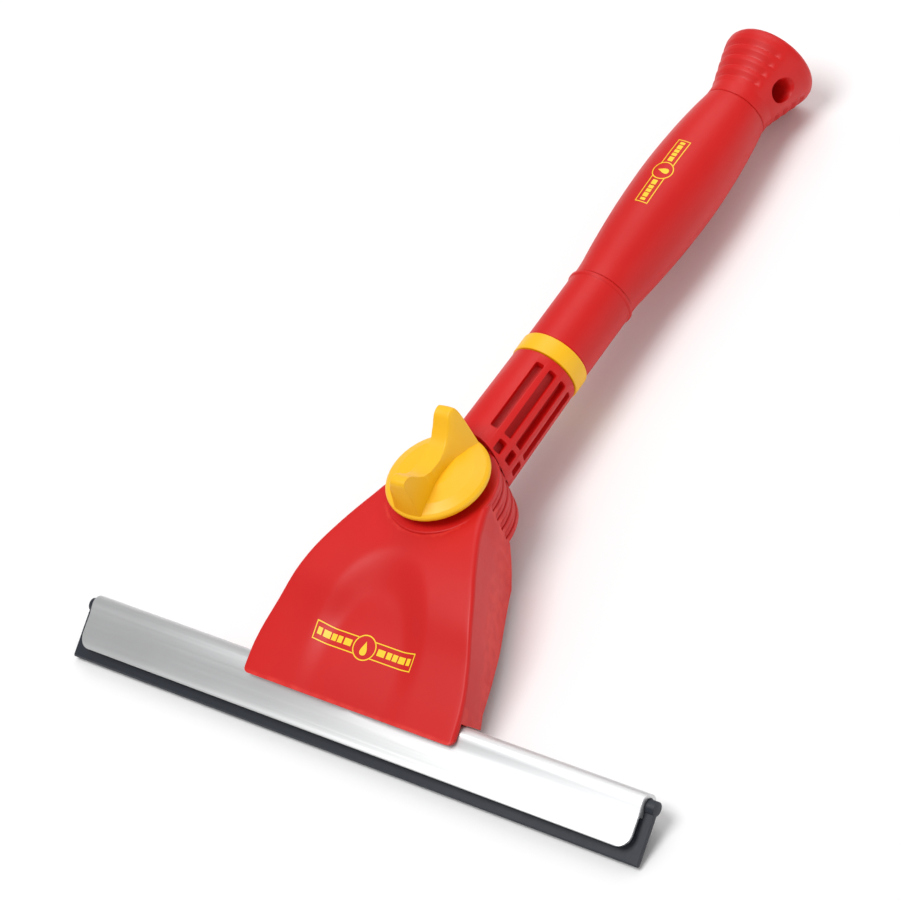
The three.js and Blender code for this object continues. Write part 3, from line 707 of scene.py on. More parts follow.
def bell_outline(inset, top):
    """The bell's two sides seen from the front, set in by a wall, up to a height."""
    right = [(half - inset, y) for y, half in SIDE_LINE if y < top]
    return right + [(-x, y) for x, y in reversed(right)]


def finger_span(index, clearance=0.0):
    """Back and front of a neck finger, counted from the front."""
    front = DRUM_FRONT - BODY_FINGER - GAP - index * FINGER_PITCH
    return front - NECK_FINGER - clearance, front + clearance


def body_back_line():
    """The body's rear edge seen from the side, from the hinge down to the rail's seat."""
    hump = smooth_line([(0.4, DRUM_BACK), (-5, DRUM_BACK - 7), (-11, -BODY_DEPTH_BACK)], 16)
    return [
        *hump,
        (-BLADE_DROP * 0.62, -BODY_DEPTH_BACK - 0.6),
        on_blade(SEAT_TOP + 5, -BODY_BACK),
        on_blade(SEAT_TOP, -BODY_BACK),
        on_blade(SEAT_TOP, LIP_BACK),
        on_blade(LIP_FOOT, LIP_BACK),
    ]


def cut_outside(body):
    """Cuts the block to the body's side view and to the lip's rounded corners."""
    beyond, corner = 60, 3
    side = [on_blade(LIP_FOOT, beyond), (30, beyond), (0.4, beyond), *body_back_line()]
    combine(body, "INTERSECT", side_prism("side", side, 110))
    lip_half = BODY_HALF + 0.42
    foot = LIP_FOOT + corner - 0.05
    lip = [
        *arc((-lip_half + corner, foot), corner, 180, 270, 8),
        *arc((lip_half - corner, foot), corner, 270, 360, 8),
        (lip_half + 0.1, SEAT_TOP + 0.5), (beyond, SEAT_TOP + 6), (beyond, 120), (-beyond, 120),
        (-beyond, SEAT_TOP + 6), (-lip_half - 0.1, SEAT_TOP + 0.5),
    ]
    combine(body, "INTERSECT", blade_prism("lip", lip, -beyond, beyond))


def hollow_out(body, sizes):
    """Cuts the hollow that is open at the back, and leaves the wall."""
    wall = sizes.wall / MM
    cavity_top = -DRUM_RADIUS - wall - GAP
    dish = sizes.dish_depth / MM
    inner_face = [(y, value_on(FACE_LINE, y) - wall - dish) for y, _ in FACE_LINE if y < cavity_top]
    seat_front = on_blade(SEAT_TOP + wall, LIP_BACK - 0.1)
    section = [
        on_blade(SEAT_TOP - 9, LIP_BACK - 0.1),
        seat_front,
        *[(y, z) for y, z in inner_face if z > seat_front[1] + 2],
        (cavity_top, inner_face[-1][1]),
        (cavity_top, -80),
        (-BLADE_DROP - 40, -80),
    ]
    cavity = front_prism("cavity", bell_outline(wall, cavity_top + 0.2), -90, 40)
    combine(cavity, "INTERSECT", side_prism("cavity_side", section, 120))
    behind_drum = [p for p in bell_outline(wall, 3) if p[1] > cavity_top - 1]
    rear = front_prism("rear", behind_drum, -90, DRUM_BACK + 0.02)
    combine(body, "DIFFERENCE", cavity, rear)


def add_ribs(body):
    """Joins the two ribs inside the bell."""
    rib_top, rib_rear = -22.9, -25.0
    rib_line = [(y, value_on(FACE_LINE, y) - 4.2) for y in (-24.2, -32.0, -40.0, -47.0, -52.0)]
    rib = [
        (rib_top, rib_line[0][1]), *rib_line, on_blade(18, 1), on_blade(18, -8.5), (-46, rib_rear),
        (rib_top, rib_rear),
    ]
    for place in (-14, 14):
        at_place = Matrix.Translation((place, 0, 0))
        combine(body, "UNION", move(side_prism("rib", rib, 2.2, 0.25), at_place))


def build_body():
    """The bell-shaped shell with the body's half of the comb hinge."""
    sizes = bpy.context.scene.squeegee_sizes
    body = body_block(sizes)
    cut_outside(body)
    hollow_out(body, sizes)
    add_ribs(body)
    for index in range(NECK_FINGERS):
        low, high = finger_span(index, GAP + 0.02)
        combine(body, "DIFFERENCE", cylinder("slot", DRUM_RADIUS + GAP, low, high, steps=ROUND))
    combine(body, "DIFFERENCE", cylinder("bore", BOLT_HOLE, -30, 20))
    for index in range(NECK_FINGERS + 1):
        high = DRUM_FRONT - index * FINGER_PITCH
        low = high - BODY_FINGER
        hole = SQUARE_HOLE if index == NECK_FINGERS else BOLT_HOLE
        ring = [(hole, low), (DRUM_RADIUS, low), (DRUM_RADIUS, high), (hole, high)]
        combine(body, "UNION", lathe("finger", soften(ring, 0.55, least=40), "Z", closed=True))
    round_edges(body, 0.35, 50)
    finish_piece(body, "squeegee_body", "head", "red_plastic", 36)


# ---- Blade ----
def build_rubber():
    """The rubber strip with its bead."""
    tangent = math.degrees(math.asin(HALF_SHEET / BEAD_RADIUS))
    section = [
        *arc((0, 0), BEAD_RADIUS, 180 - tangent, -180 + tangent, 24)[::-1],
        (RUBBER_FOOT + 0.6, HALF_SHEET),
        (RUBBER_FOOT, HALF_SHEET - 0.5),
        (RUBBER_FOOT, -HALF_SHEET + 0.5),
        (RUBBER_FOOT + 0.6, -HALF_SHEET),
    ]
    rubber = side_prism("rubber_strip", [on_blade(v, w) for v, w in section], 250, 0.18)
    finish_piece(rubber, "rubber_blade", "head", "blade_rubber")


def build_rail():
    """The rolled rail that grips the rubber's bead, its lower corners rounded."""
    channel = BEAD_RADIUS + GAP
    pinch = HALF_SHEET + GAP
    inside = RAIL_FACE - RAIL_WALL
    section = [
        (RAIL_FOOT, RAIL_FACE + 0.5),
        (RAIL_FOOT + 1.6, RAIL_FACE + 0.1),
        (RAIL_FOOT + 3.4, RAIL_FACE - 0.12),
        (-channel - 1.5, RAIL_FACE - 0.22),
        (-channel, RAIL_FACE - 0.16),
        (-0.9, RAIL_FACE + 0.12),
        *[(min(v, RAIL_TOP), w) for v, w in arc((0.2, 1), RAIL_FACE - 0.7, 82, 14, 12)],
        *arc((0, 0), RAIL_TOP, -14, -90, 14),
        (-RAIL_LIP, -RAIL_TOP),
        (-RAIL_LIP, -pinch),
        (-RAIL_LIP + RAIL_WALL, -pinch),
        *arc((0, 0), channel, -148, 148, 28),
        (-RAIL_LIP + RAIL_WALL, pinch),
        (-RAIL_LIP, pinch),
        (-RAIL_LIP, inside),
        (RAIL_FOOT + 3, inside),
        (RAIL_FOOT, inside + 0.6),
    ]
    section = soften(section, 0.3, steps=3, least=50)
    rail = side_prism("rail_profile", [on_blade(v, w) for v, w in section], 2 * RAIL_HALF + 2)
    outline = [
        *arc((-RAIL_HALF + RAIL_CORNER, RAIL_FOOT + RAIL_CORNER), RAIL_CORNER, 180, 270, 12),
        *arc((RAIL_HALF - RAIL_CORNER, RAIL_FOOT + RAIL_CORNER), RAIL_CORNER, 270, 360, 12),
        (RAIL_HALF, RAIL_TOP + 1), (-RAIL_HALF, RAIL_TOP + 1),
    ]
    combine(rail, "INTERSECT", blade_prism("ends", outline, -12, 12))
    round_edges(rail, 0.2, 60)
    finish_piece(rail, "aluminium_rail", "head", "rail_aluminium", 32)


# ---- Hinge hardware and knob ----
WING_LINE = smooth_line(
    [
        (-18.9, 11.6), (-18.2, 15.2), (-16.4, 16.4), (-13.6, 15.4), (-10.4, 11.6), (-6.4, 8.6),
        (0, 7.4),
        (6.4, 8.6), (10.4, 11.6), (13.6, 15.4), (16.4, 16.4), (18.2, 15.2), (18.9, 11.6),
    ],
    72,
)


def wing_height(x, y, half):
    """Height of the wing over the rim. Each horn is steep on one side and slopes off on the other."""
    edge, foot_height = 18.85, 1.2
    top = value_on(WING_LINE, max(-edge, min(edge, y)))
    lean = ease(abs(y), 2.0, 12.0) * (1 if y > 0 else -1)
    reach = x + 0.9 * lean
    slope_side = reach * lean > 0
    shoulder = half - (1.9 if slope_side else 0.9) * (0.45 + 0.55 * abs(lean))
    foot = half + (4.2 if slope_side else 0.3) * (0.25 + 0.75 * abs(lean))
    return -foot_height + (top + foot_height) * ease(abs(reach), foot, shoulder)


def wing(half):
    """The knob's wing: a fine grid raised to its height, with a skirt down into the rim."""
    bm = bmesh.new()
    bmesh.ops.create_grid(bm, x_segments=66, y_segments=104, size=1.0)
    across, along, round_end = 9.2, 18.5, 19.3
    for vert in bm.verts:
        x, y = vert.co.x * across, vert.co.y * along
        pull = math.sqrt(max(0.0, 1 - (x / round_end) ** 2))
        y *= pull
        vert.co = (x, y, KNOB_RIM + wing_height(x, y / pull, half))
    border = [e for e in bm.edges if e.is_boundary]
    made = bmesh.ops.extrude_edge_only(bm, edges=border)["geom"]
    for vert in made:
        if isinstance(vert, bmesh.types.BMVert):
            vert.co.z = KNOB_RIM - 1.4
    hem = [e for e in made if isinstance(e, bmesh.types.BMEdge) and e.is_boundary]
    bmesh.ops.contextual_create(bm, geom=hem)
    bmesh.ops.recalc_face_normals(bm, faces=bm.faces[:])
    return as_object("wing", bm)


def build_knob():
    """The wing knob with its recesses for the rings and the nut."""
    half = bpy.context.scene.squeegee_sizes.wing_width / MM / 2
    crown = [
        (0, KNOB_FOOT), (KNOB_RADIUS - 1.2, KNOB_FOOT), (KNOB_RADIUS, KNOB_FOOT + 1.3),
        (KNOB_RADIUS, KNOB_RIM - 1.0), (KNOB_RADIUS - 1.2, KNOB_RIM),
        (KNOB_RADIUS * 0.75, KNOB_RIM + 1.5), (KNOB_RADIUS * 0.4, KNOB_RIM + 2.75),
        (0, KNOB_RIM + 3.2),
    ]
    crown = soften(crown, 1.4, closed=False, steps=5, least=5)
    knob = lathe("wing_knob_moulding", crown, "Z", steps=128)
    combine(knob, "UNION", wing(half))
    below, washer_room, ring_room, nut_seat = 5, 8.3, 13.6, 6.07
    under = [
        (0, below), (ring_room, below), (ring_room, KNOB_FOOT), (washer_room, KNOB_FOOT),
        (washer_room, THRUST_FACE), (0, THRUST_FACE),
    ]
    combine(knob, "DIFFERENCE", lathe("under", under, "Z"))
    flats = arc((0, 0), nut_seat, 0, 300, 5)
    combine(knob, "DIFFERENCE", front_prism("nut_seat", flats, below, 16.7))
    combine(knob, "DIFFERENCE", cylinder("bolt_bore", BOLT_HOLE, below, 17.9))
    tidy_mesh(knob)
    finish_piece(knob, "wing_knob", "knob", "yellow_plastic", 38)


def build_tooth_ring():
    """The toothed ring under the knob."""
    teeth, root, tip = 30, 12.1, 13.0
    outline = []
    for k in range(teeth):
        for share, radius in ((0.0, root), (0.22, root), (0.38, tip), (0.72, tip), (0.88, root)):
            angle = math.tau * (k + share) / teeth
            outline.append((radius * math.cos(angle), radius * math.sin(angle)))
    ring = front_prism("ring_teeth", outline, 8.7, 10.3, 0.15, 1)
    combine(ring, "DIFFERENCE", cylinder("bore", BOLT_HOLE, 5, 20))
    finish_piece(ring, "tooth_ring", "head", "red_plastic")


def build_bolt():
    """The carriage bolt with its domed head and square, and the turned washer at its other end."""
    head_radius, dome, square, sunk = 7.5, 3, 4, -14.5
    angles = [math.radians(a) for a in range(0, 90, 9)]
    profile = [(head_radius * math.cos(a), BOLT_SEAT - dome * math.sin(a)) for a in angles]
    bolt = lathe(
        "carriage_bolt", [(0, BOLT_SEAT), *profile, (0, BOLT_SEAT - dome)], "Z", steps=64)
    corners = [(-square, -square), (square, -square), (square, square), (-square, square)]
    shank = lathe(
        "shank", [(0, sunk), (3, sunk), (3, 16.8), (2.4, 17.4), (0, 17.4)], "Z", steps=48)
    combine(bolt, "UNION", front_prism("square", corners, sunk, -11.8, 0.3), shank)
    finish_piece(bolt, "pivot_bolt", "head", "zinc_steel")

    low, high, rim = 11.7, 12.9, 8
    ring = soften([(BOLT_HOLE, low), (rim, low), (rim, high), (BOLT_HOLE, high)], 0.25)
    washer = lathe("turned_washer", ring, "Z", closed=True, steps=64)
    finish_piece(washer, "thrust_washer", "head", "zinc_steel")


def build_clamp():
    """The plate behind the rail and its two pan screws."""
    corner, low, high = 4, -5, 12
    inner = CLAMP_HALF - corner
    plate = [
        *arc((-inner, low), corner, 180, 270, 8), *arc((inner, low), corner, 270, 360, 8),
        *arc((inner, high), corner, 0, 90, 8), *arc((-inner, high), corner, 90, 180, 8),
    ]
    clamp = blade_prism("clamp_plate", plate, -6.9, -4.5, 0.5, 3)
    for place in (-SCREW_PLACE, SCREW_PLACE):
        hole = arc((place, SCREW_HEIGHT), 1.9, 0, 345, 23)
        combine(clamp, "DIFFERENCE", blade_prism("hole", hole, -9, -2))
    finish_piece(clamp, "rail_clamp", "head", "red_plastic")
    for number, place in ((1, -SCREW_PLACE), (2, SCREW_PLACE)):
        disc = arc((place, SCREW_HEIGHT), 3, 0, 352.5, 47)
        thread = arc((place, SCREW_HEIGHT), 1.6, 0, 345, 23)
        screw = blade_prism(f"pan_screw_{number}", disc, -9.0, -7.2, 0.45, 3)
        combine(screw, "UNION", blade_prism("thread", thread, -7.7, 3.8))
        left, right = place - 0.45, place + 0.45
        slot = [(left, 8), (right, 8), (right, 15), (left, 15)]
        combine(screw, "DIFFERENCE", blade_prism("driver", slot, -10, -8.2))
        finish_piece(screw, f"clamp_screw_{number}", "head", "zinc_steel")


# ---- Neck and collar ----
POCKET_ANGLES = (25, 50, 75, 100)


def pocket_tool(angle, low, high, width):
    """A cutter for a pocket in the neck's side, its corners rounded."""
    half, depth = width / 2, 4
    outline = soften([(-half, low), (half, low), (half, high), (-half, high)], 0.9)
    tool = front_prism("pocket", outline, NECK_RADIUS - depth, NECK_RADIUS + 3)
    return move(tool, Matrix.Rotation(math.radians(angle), 4, "Y"))


def build_neck():
    """The neck's moulding: the tapered tube, the spigot, the fingers of the comb and the pockets."""
    width = bpy.context.scene.squeegee_sizes.pocket_width / MM
    shoulder = COLLAR_START - GAP
    groove, groove_low, groove_high = 8.1, 99.4, 102.4
    outside = [
        (NECK_BORE, NECK_RADIUS), (NECK_RADIUS, NECK_RADIUS), (12.9, shoulder),
        (SPIGOT_RADIUS, shoulder), (SPIGOT_RADIUS, groove_low), (groove, groove_low),
        (groove, groove_high), (SPIGOT_RADIUS, groove_high), (SPIGOT_RADIUS, SPIGOT_END - 1.5),
        (SPIGOT_RADIUS - 1.5, SPIGOT_END), (NECK_BORE, SPIGOT_END),
    ]
    neck = lathe("neck_moulding", soften(outside, 0.5, steps=3, least=25), "Y", closed=True)
    combine(neck, "UNION", cylinder("floor", NECK_BORE + 0.2, NECK_RADIUS, 29, "Y"))
    combine(neck, "DIFFERENCE", cylinder("cove", DRUM_RADIUS + GAP, -14.6, 14.6, steps=128))
    disc_radius = DRUM_RADIUS - GAP
    for index in range(NECK_FINGERS):
        low, high = finger_span(index)
        depth = max(abs(low), abs(high)) / NECK_RADIUS
        reach = (NECK_RADIUS - 0.05) * math.sqrt(max(0.0, 1 - depth ** 2))
        start = math.degrees(math.acos(min(1.0, reach / disc_radius)))
        outline = [
            *arc((0, 0), disc_radius, 180 - start, 360 + start, 72),
            (reach, NECK_START + 1), (-reach, NECK_START + 1),
        ]
        tongue = front_prism("tongue", outline, low, high, 0.25)
        combine(tongue, "DIFFERENCE", cylinder("bore", BOLT_HOLE, -30, 20))
        combine(neck, "UNION", tongue)
    tools = []
    for half_turn in (0, 180):
        for k, angle in enumerate(POCKET_ANGLES):
            tools.append(pocket_tool(angle + half_turn, 27, 58, width))
            if k:
                tools.append(pocket_tool(angle + half_turn, 19.5, 24.8, width))
    combine(neck, "DIFFERENCE", *tools)
    round_edges(neck, 0.22, 50)
    finish_piece(neck, "neck", "neck", "red_plastic", 36)


def build_collar():
    """The yellow band round the neck's shoulder."""
    rim = 13.3
    ring = [
        (SOCKET_RADIUS, COLLAR_START), (rim, COLLAR_START), (rim, COLLAR_END),
        (SOCKET_RADIUS, COLLAR_END),
    ]
    band = lathe("collar_band", soften(ring, 0.5), "Y", closed=True)
    finish_piece(band, "collar_ring", "neck", "yellow_plastic")


# ---- Handle ----
GRIP_LINE = smooth_line(
    [
        (GRIP_MOUTH, GRIP_START), (12.7, 107.3), (13.9, 118), (15.3, 136), (15.8, 156), (15.0, 174),
        (13.8, 186.5), (GRIP_MOUTH, GRIP_END),
    ],
    72,
)


def build_barrel():
    """The sleeve that slides on the spigot, its rolled lip and its step onto the tube."""
    start, sleeve, lip, lip_end = COLLAR_END + GAP, 12.7, 13.2, 101.0
    tail, step, tail_end = 10.7, 112.9, 126.9
    outline = [
        (SOCKET_RADIUS, start), (12.3, start), (sleeve, start + 0.5), (sleeve, 99.0), (lip, 99.6),
        (lip, 100.6), (sleeve, lip_end), (tail, lip_end), (tail, tail_end), (TUBE_RADIUS, tail_end),
        (TUBE_RADIUS, step), (SOCKET_RADIUS, step),
    ]
    profile = soften(outline, 0.35, steps=3, least=25)
    barrel = lathe("barrel_sleeve", profile, "Y", closed=True)
    finish_piece(barrel, "handle_barrel", "handle", "red_plastic")


def build_grip():
    """The swelling grip."""
    mouth, step = 11.0, 127.3
    outline = [
        *GRIP_LINE, (TUBE_RADIUS, GRIP_END), (TUBE_RADIUS, step), (mouth, step), (mouth, GRIP_START),
    ]
    profile = soften(outline, 0.45, steps=3, least=40)
    grip = lathe("grip_sleeve", profile, "Y", closed=True, steps=112)
    finish_piece(grip, "grip", "handle", "red_plastic")


FLARE_START = 200.3
FLARE_TOP = 219.8
GROOVES = 4
FIRST_GROOVE = FLARE_START + 2.5


def flare(y):
    """The cap's radius without its grooves."""
    share = min(1, max(0, (y - FLARE_START) / (FLARE_TOP - FLARE_START)))
    return GRIP_MOUTH + (CAP_RADIUS - GRIP_MOUTH) * share


def cap_profile(depth):
    """Radius and height from the plug in the grip, over the grooves, to the cap's end."""
    plug, plug_end, mouth = 6.9, CAP_START - 12, 12.2
    profile = [
        (0, plug_end), (plug, plug_end), (plug, CAP_START), (mouth, CAP_START),
        (GRIP_MOUTH, CAP_START + 0.4), (GRIP_MOUTH, FLARE_START - 1.5), (12.62, FLARE_START + 0.6),
    ]
    pitch = (FLARE_TOP - FIRST_GROOVE) / GROOVES
    for k in range(GROOVES):
        y = FIRST_GROOVE + k * pitch
        floor = flare(y + 0.3 * pitch) - depth
        profile += [
            (flare(y - 0.2) + 0.1, y - 0.3), (flare(y) + 0.02, y + 0.1), (floor + 0.15, y + 0.42),
            (floor, y + 0.75), (floor + 0.35, y + 0.3 * pitch),
            (flare(y + 0.62 * pitch), y + 0.62 * pitch),
        ]
    return profile + [
        (CAP_RADIUS - 0.15, FLARE_TOP - 0.2), (CAP_RADIUS, FLARE_TOP + 0.4),
        (CAP_RADIUS, CAP_END - 1.7), (CAP_RADIUS - 0.5, CAP_END - 0.6),
        (CAP_RADIUS - 1.7, CAP_END - 0.1), (CAP_RADIUS - 2.6, CAP_END - 0.05),
        (CAP_RADIUS - 3.6, CAP_END - 0.9), (0, CAP_END - 0.9),
    ]


def fade_grooves(cap):
    """Fills the grooves beside the hanging hole, so that its mouths stand in a smooth surface."""
    hole = Vector((math.sin(HANG_ANGLE), 0, math.cos(HANG_ANGLE)))
    for vert in cap.data.vertices:
        x, y, z = vert.co
        radius = math.hypot(x, z)
        if not FIRST_GROOVE - 1 < y < FLARE_TOP + 0.3 or radius < 11:
            continue
        across = max(-1, min(1, (x * hole.x + z * hole.z) / radius))
        side = abs(math.degrees(math.acos(across)))
        plain = 1 - ease(min(side, 180 - side), 30, 42)
        wanted = radius + (flare(y) - radius) * plain
        vert.co = (x * wanted / radius, y, z * wanted / radius)


def build_cap():
    """The flared end cap with its grooves and hanging hole."""
    depth = bpy.context.scene.squeegee_sizes.groove_depth / MM
    profile = soften(cap_profile(depth), 0.3, closed=False, steps=2, least=12)
    cap = lathe("flared_cap", profile, "Y", steps=144)
    fade_grooves(cap)
    half_hole = [(4.5, 14.2), (4.9, 15.2), (5.9, 17.2), (6.6, 30), (0, 30)]
    hole = [(radius, -place) for radius, place in reversed(half_hole)] + half_hole
    hanger = lathe("hanger", hole, "Z", steps=64)
    centre = Matrix.Translation((0, CAP_END - 15, 0))
    combine(cap, "DIFFERENCE", move(hanger, centre @ Matrix.Rotation(HANG_ANGLE, 4, "Y")))
    tidy_mesh(cap)
    finish_piece(cap, "end_cap", "handle", "red_plastic", 30)


# ---- Printed badges: a framed band with a round drop emblem and plain bars ----
def flat_loop(bm, points):
    """A closed ring of edges."""
    verts = [bm.verts.new((u, v, 0)) for u, v in points]
    return [bm.edges.new((verts[k - 1], verts[k])) for k in range(len(verts))]


def flat_bar(bm, side, left, low, right, high):
    """An upright rectangle, on the other half of the badge when side is -1."""
    corners = ((left, low), (right, low), (right, high), (left, high))
    bm.faces.new([bm.verts.new((side * x, y, 0)) for x, y in corners])


def badge(name, width, height, radius, line, wrap):
    """A badge drawn flat in u and v, cut fine, and laid on a surface by wrap."""
    bm = bmesh.new()
    half, tall = width / 2, height / 2
    start = math.sqrt(max(radius ** 2 - tall ** 2, 0.01)) if tall < radius else radius * 0.5
    for side in (-1, 1):
        flat_bar(bm, side, start, tall - line, half, tall)
        flat_bar(bm, side, start, -tall, half, -tall + line)
        flat_bar(bm, side, half - line, -tall + line, half, tall - line)
    outer = flat_loop(bm, arc((0, 0), radius, 0, 352.5, 47))
    inner = flat_loop(bm, arc((0, 0), radius - line * 1.1, 0, 352.5, 47))
    bmesh.ops.bridge_loops(bm, edges=outer + inner)
    drop = []
    for t in [math.tau * k / 40 for k in range(40)]:
        across = 0.36 * radius * math.sin(t) * (1 - math.cos(t)) * 0.62
        drop.append((across, 0.58 * radius * math.cos(t) - 0.02 * radius))
    bm.faces.new([bm.verts.new((u, v, 0)) for u, v in drop])
    bars, whole = (0.34, 0.22, 0.22, 0.30, 0.18), 1.26
    room = half - radius - 4 * line
    for side in (-1, 1):
        place = radius + 2 * line
        for share in bars:
            pitch = share * room / whole
            flat_bar(bm, side, place, -0.36 * tall, place + pitch * 0.8, 0.40 * tall)
            place += pitch
    bmesh.ops.triangulate(bm, faces=bm.faces[:])
    for _ in range(4):
        long_edges = [e for e in bm.edges if e.calc_length() > 1.2]
        if not long_edges:
            break
        bmesh.ops.subdivide_edges(bm, edges=long_edges, cuts=1)
        bmesh.ops.triangulate(bm, faces=bm.faces[:])
    for vert in bm.verts:
        vert.co = wrap(vert.co.x, vert.co.y)
    bmesh.ops.recalc_face_normals(bm, faces=bm.faces[:])
    return as_object(name, bm)


def outward(piece, direction):
    """Turns a thin sheet's faces to one side."""
    bm = bmesh.new()
    bm.from_mesh(piece.data)
    for face in bm.faces:
        if face.normal.dot(direction) < 0:
            face.normal_flip()
    bm.to_mesh(piece.data)
    bm.free()
    return piece


def build_prints():
    """The badges on the body's face and on the grip."""
    sizes = bpy.context.scene.squeegee_sizes
    middle, shift, squash, ink, front = -59.3, -1.0, 0.88, 0.07, Vector((0, 0, 1))

    def on_body(u, v):
        x, y = u + shift, middle + v * squash
        return x, y - 0.03, face_at(x, y, sizes) + ink

    body_badge = badge("body_badge", sizes.print_width / MM, 6.8, 4.9, 0.42, on_body)
    finish_piece(outward(body_badge, front), None, "head", "yellow_print", 60)

    grip_middle, facing = 150.3, math.radians(5)
    rising = [(y, r) for r, y in GRIP_LINE]

    def on_grip(u, v):
        y = grip_middle + u
        radius = value_on(rising, y) + ink
        angle = facing - v / radius
        return radius * math.sin(angle), y, radius * math.cos(angle)

    grip_badge = badge("grip_badge", 31.5, 5.3, 4.1, 0.36, on_grip)
    finish_piece(outward(grip_badge, front), None, "handle", "yellow_print", 60)


# ---- Frame nodes that keep their own shape ----
KEPT = {
    "split_spring_washer": "zinc_steel", "knob_nut": "zinc_steel", "snap_ring": "zinc_steel",
    "core_tube": "rail_aluminium",
}


def dress_kept_nodes():
    """Gives the solids that stay as they are their finish."""
    for node, finish in KEPT.items():
        for place in frame["nodes"][node].material_slots:
            place.material = finish_named(finish)


# ---- Stage ----
def axes(x, y, z):
    """A turn that brings the three axes to the given directions."""
    return Matrix((x, y, z)).transposed().to_4x4()


def build_camera(stage, aim):
    """The camera, and the directions to its right, above it and behind it."""
    azimuth, elevation = stage.azimuth, stage.elevation
    level_part = math.cos(elevation)
    back = Vector((
        math.sin(azimuth) * level_part, -math.cos(azimuth) * level_part, math.sin(elevation)))
    level = Vector((-back.y, back.x, 0)).normalized()
    upright = back.cross(level)
    right = level * math.cos(stage.roll) + upright * math.sin(stage.roll)
    up = back.cross(right)
    data = bpy.data.cameras.new("camera")
    data.lens = stage.lens
    data.sensor_width = 36.0
    data.clip_end = 20.0
    camera = bpy.data.objects.new("camera", data)
    bpy.context.scene.collection.objects.link(camera)
    camera.matrix_world = Matrix.Translation(aim + back * stage.distance) @ axes(right, up, back)
    bpy.context.scene.camera = camera
    return right, up, back


def build_floor(pale):
    """A wide floor with hardly visible clouds."""
    bm = bmesh.new()
    bmesh.ops.create_grid(bm, x_segments=1, y_segments=1, size=4.0)
    floor = as_object("floor", bm)
    material, tree, shader = plain_material("studio_floor", Roughness=0.9)
    cloud = spread(tree, noise_node(tree, object_place(tree), 1.5, 2.0), 0.3, 0.7, 0.0, 0.04)
    shade = mix_colour(tree, cloud, (*pale, 1), (0.8, 0.8, 0.8, 1))
    feed(tree, shader.inputs["Base Color"], shade)
    floor.data.materials.append(material)


def build_lights(aim, right, up, back):
    """A white surround and round area lights, placed along the camera's directions, in metres."""
    scene = bpy.context.scene
    world = bpy.data.worlds.new("studio")
    world.use_nodes = True
    background = world.node_tree.nodes["Background"]
    background.inputs["Color"].default_value = (1, 1, 1, 1)
    background.inputs["Strength"].default_value = 0.48
    scene.world = world
    scene.view_settings.view_transform = "Standard"
    lamps = (
        ("key", -0.85, 0.7, 1.2, 0.8, 15.0),
        ("fill", 1.1, -0.1, 1.0, 1.2, 3.0),
        ("top", 0.0, 1.2, 0.3, 1.0, 4.0),
    )
    for name, across, above, toward, size, power in lamps:
        light = bpy.data.lights.new(name, "AREA")
        light.shape = "DISK"
        light.size = size
        light.energy = power
        lamp = bpy.data.objects.new(name, light)
        scene.collection.objects.link(lamp)
        spot = aim + right * across + up * above + back * toward
        spot.z = max(spot.z, 0.35)
        turn = (spot - aim).to_track_quat("Z", "Y").to_matrix().to_4x4()
        lamp.matrix_world = Matrix.Translation(spot) @ turn


def build_stage():
    """The camera, the floor and the lights."""
    scene = bpy.context.scene
    aim = Vector(scene.squeegee_stage.aim)
    directions = build_camera(scene.squeegee_stage, aim)
    build_floor(scene.squeegee_colours.floor)
    build_lights(aim, *directions)


# ---- Operators ----
class BuildSteps:
    """What every operator does: it runs its own steps in turn"""

    def execute(self, context):
        for step in self.steps:
            step()
        return {"FINISHED"}


class SQUEEGEE_OT_stage(BuildSteps, bpy.types.Operator):
    """Set the floor, the lights and the camera"""

    bl_idname = "squeegee.stage"
    bl_label = "Stage"
    steps = (build_stage,)


class SQUEEGEE_OT_body(BuildSteps, bpy.types.Operator):
    """Build the bell-shaped body with its hollow face and comb hinge"""

    bl_idname = "squeegee.body"
    bl_label = "Body"
    steps = (build_body,)


class SQUEEGEE_OT_blade(BuildSteps, bpy.types.Operator):
    """Build the rubber blade and its aluminium rail"""

    bl_idname = "squeegee.blade"
    bl_label = "Blade and rail"
    steps = (build_rubber, build_rail)


class SQUEEGEE_OT_knob(BuildSteps, bpy.types.Operator):
    """Build the wing knob"""

    bl_idname = "squeegee.knob"
    bl_label = "Wing knob"
    steps = (build_knob,)


class SQUEEGEE_OT_hardware(BuildSteps, bpy.types.Operator):
    """Build the bolt, washers, toothed ring, clamp plate and screws"""

    bl_idname = "squeegee.hardware"
    bl_label = "Hardware"
    steps = (build_tooth_ring, build_bolt, build_clamp, dress_kept_nodes)


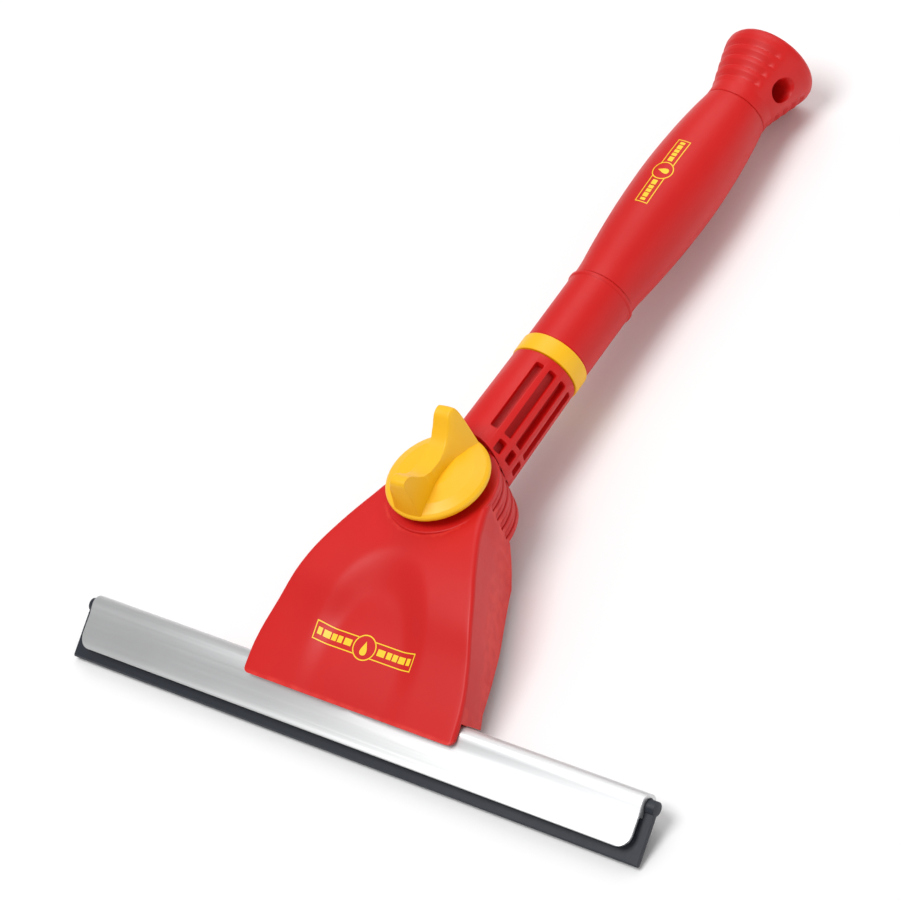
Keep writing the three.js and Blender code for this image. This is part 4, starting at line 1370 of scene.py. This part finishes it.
class SQUEEGEE_OT_neck(BuildSteps, bpy.types.Operator):
    """Build the neck with its comb, pockets and spigot, and the collar band"""

    bl_idname = "squeegee.neck"
    bl_label = "Neck and collar"
    steps = (build_neck, build_collar)


class SQUEEGEE_OT_handle(BuildSteps, bpy.types.Operator):
    """Build the handle's barrel, grip and flared cap"""

    bl_idname = "squeegee.handle"
    bl_label = "Handle"
    steps = (build_barrel, build_grip, build_cap)


class SQUEEGEE_OT_prints(BuildSteps, bpy.types.Operator):
    """Lay the printed badges on the body and the grip"""

    bl_idname = "squeegee.prints"
    bl_label = "Printed badges"
    steps = (build_prints,)


class SQUEEGEE_PT_panel(bpy.types.Panel):
    """Builds the squeegee piece by piece"""

    bl_idname = "SQUEEGEE_PT_panel"
    bl_label = "Squeegee"
    bl_space_type = "VIEW_3D"
    bl_region_type = "UI"
    bl_category = "Squeegee"

    def draw(self, context):
        for setting in SETTINGS:
            group = getattr(context.scene, setting)
            column = self.layout.column()
            for name in group.__annotations__:
                column.prop(group, name)
        for operator in OPERATORS:
            self.layout.operator(operator.bl_idname)


OPERATORS = (
    SQUEEGEE_OT_stage, SQUEEGEE_OT_body, SQUEEGEE_OT_blade, SQUEEGEE_OT_knob, SQUEEGEE_OT_hardware,
    SQUEEGEE_OT_neck, SQUEEGEE_OT_handle, SQUEEGEE_OT_prints,
)
SETTINGS = {
    "squeegee_sizes": SqueegeeSizes,
    "squeegee_colours": SqueegeeColours,
    "squeegee_stage": SqueegeeStage,
}
CLASSES = (*SETTINGS.values(), *OPERATORS, SQUEEGEE_PT_panel)


def register():
    for kind in CLASSES:
        bpy.utils.register_class(kind)
    for name, group in SETTINGS.items():
        setattr(bpy.types.Scene, name, PointerProperty(type=group))


def unregister():
    for name in SETTINGS:
        delattr(bpy.types.Scene, name)
    for kind in reversed(CLASSES):
        bpy.utils.unregister_class(kind)


def main():
    register()
    bpy.ops.squeegee.stage()
    bpy.ops.squeegee.body()
    bpy.ops.squeegee.blade()
    bpy.ops.squeegee.knob()
    bpy.ops.squeegee.hardware()
    bpy.ops.squeegee.neck()
    bpy.ops.squeegee.handle()
    bpy.ops.squeegee.prints()


if __name__ == "__main__":
    main()
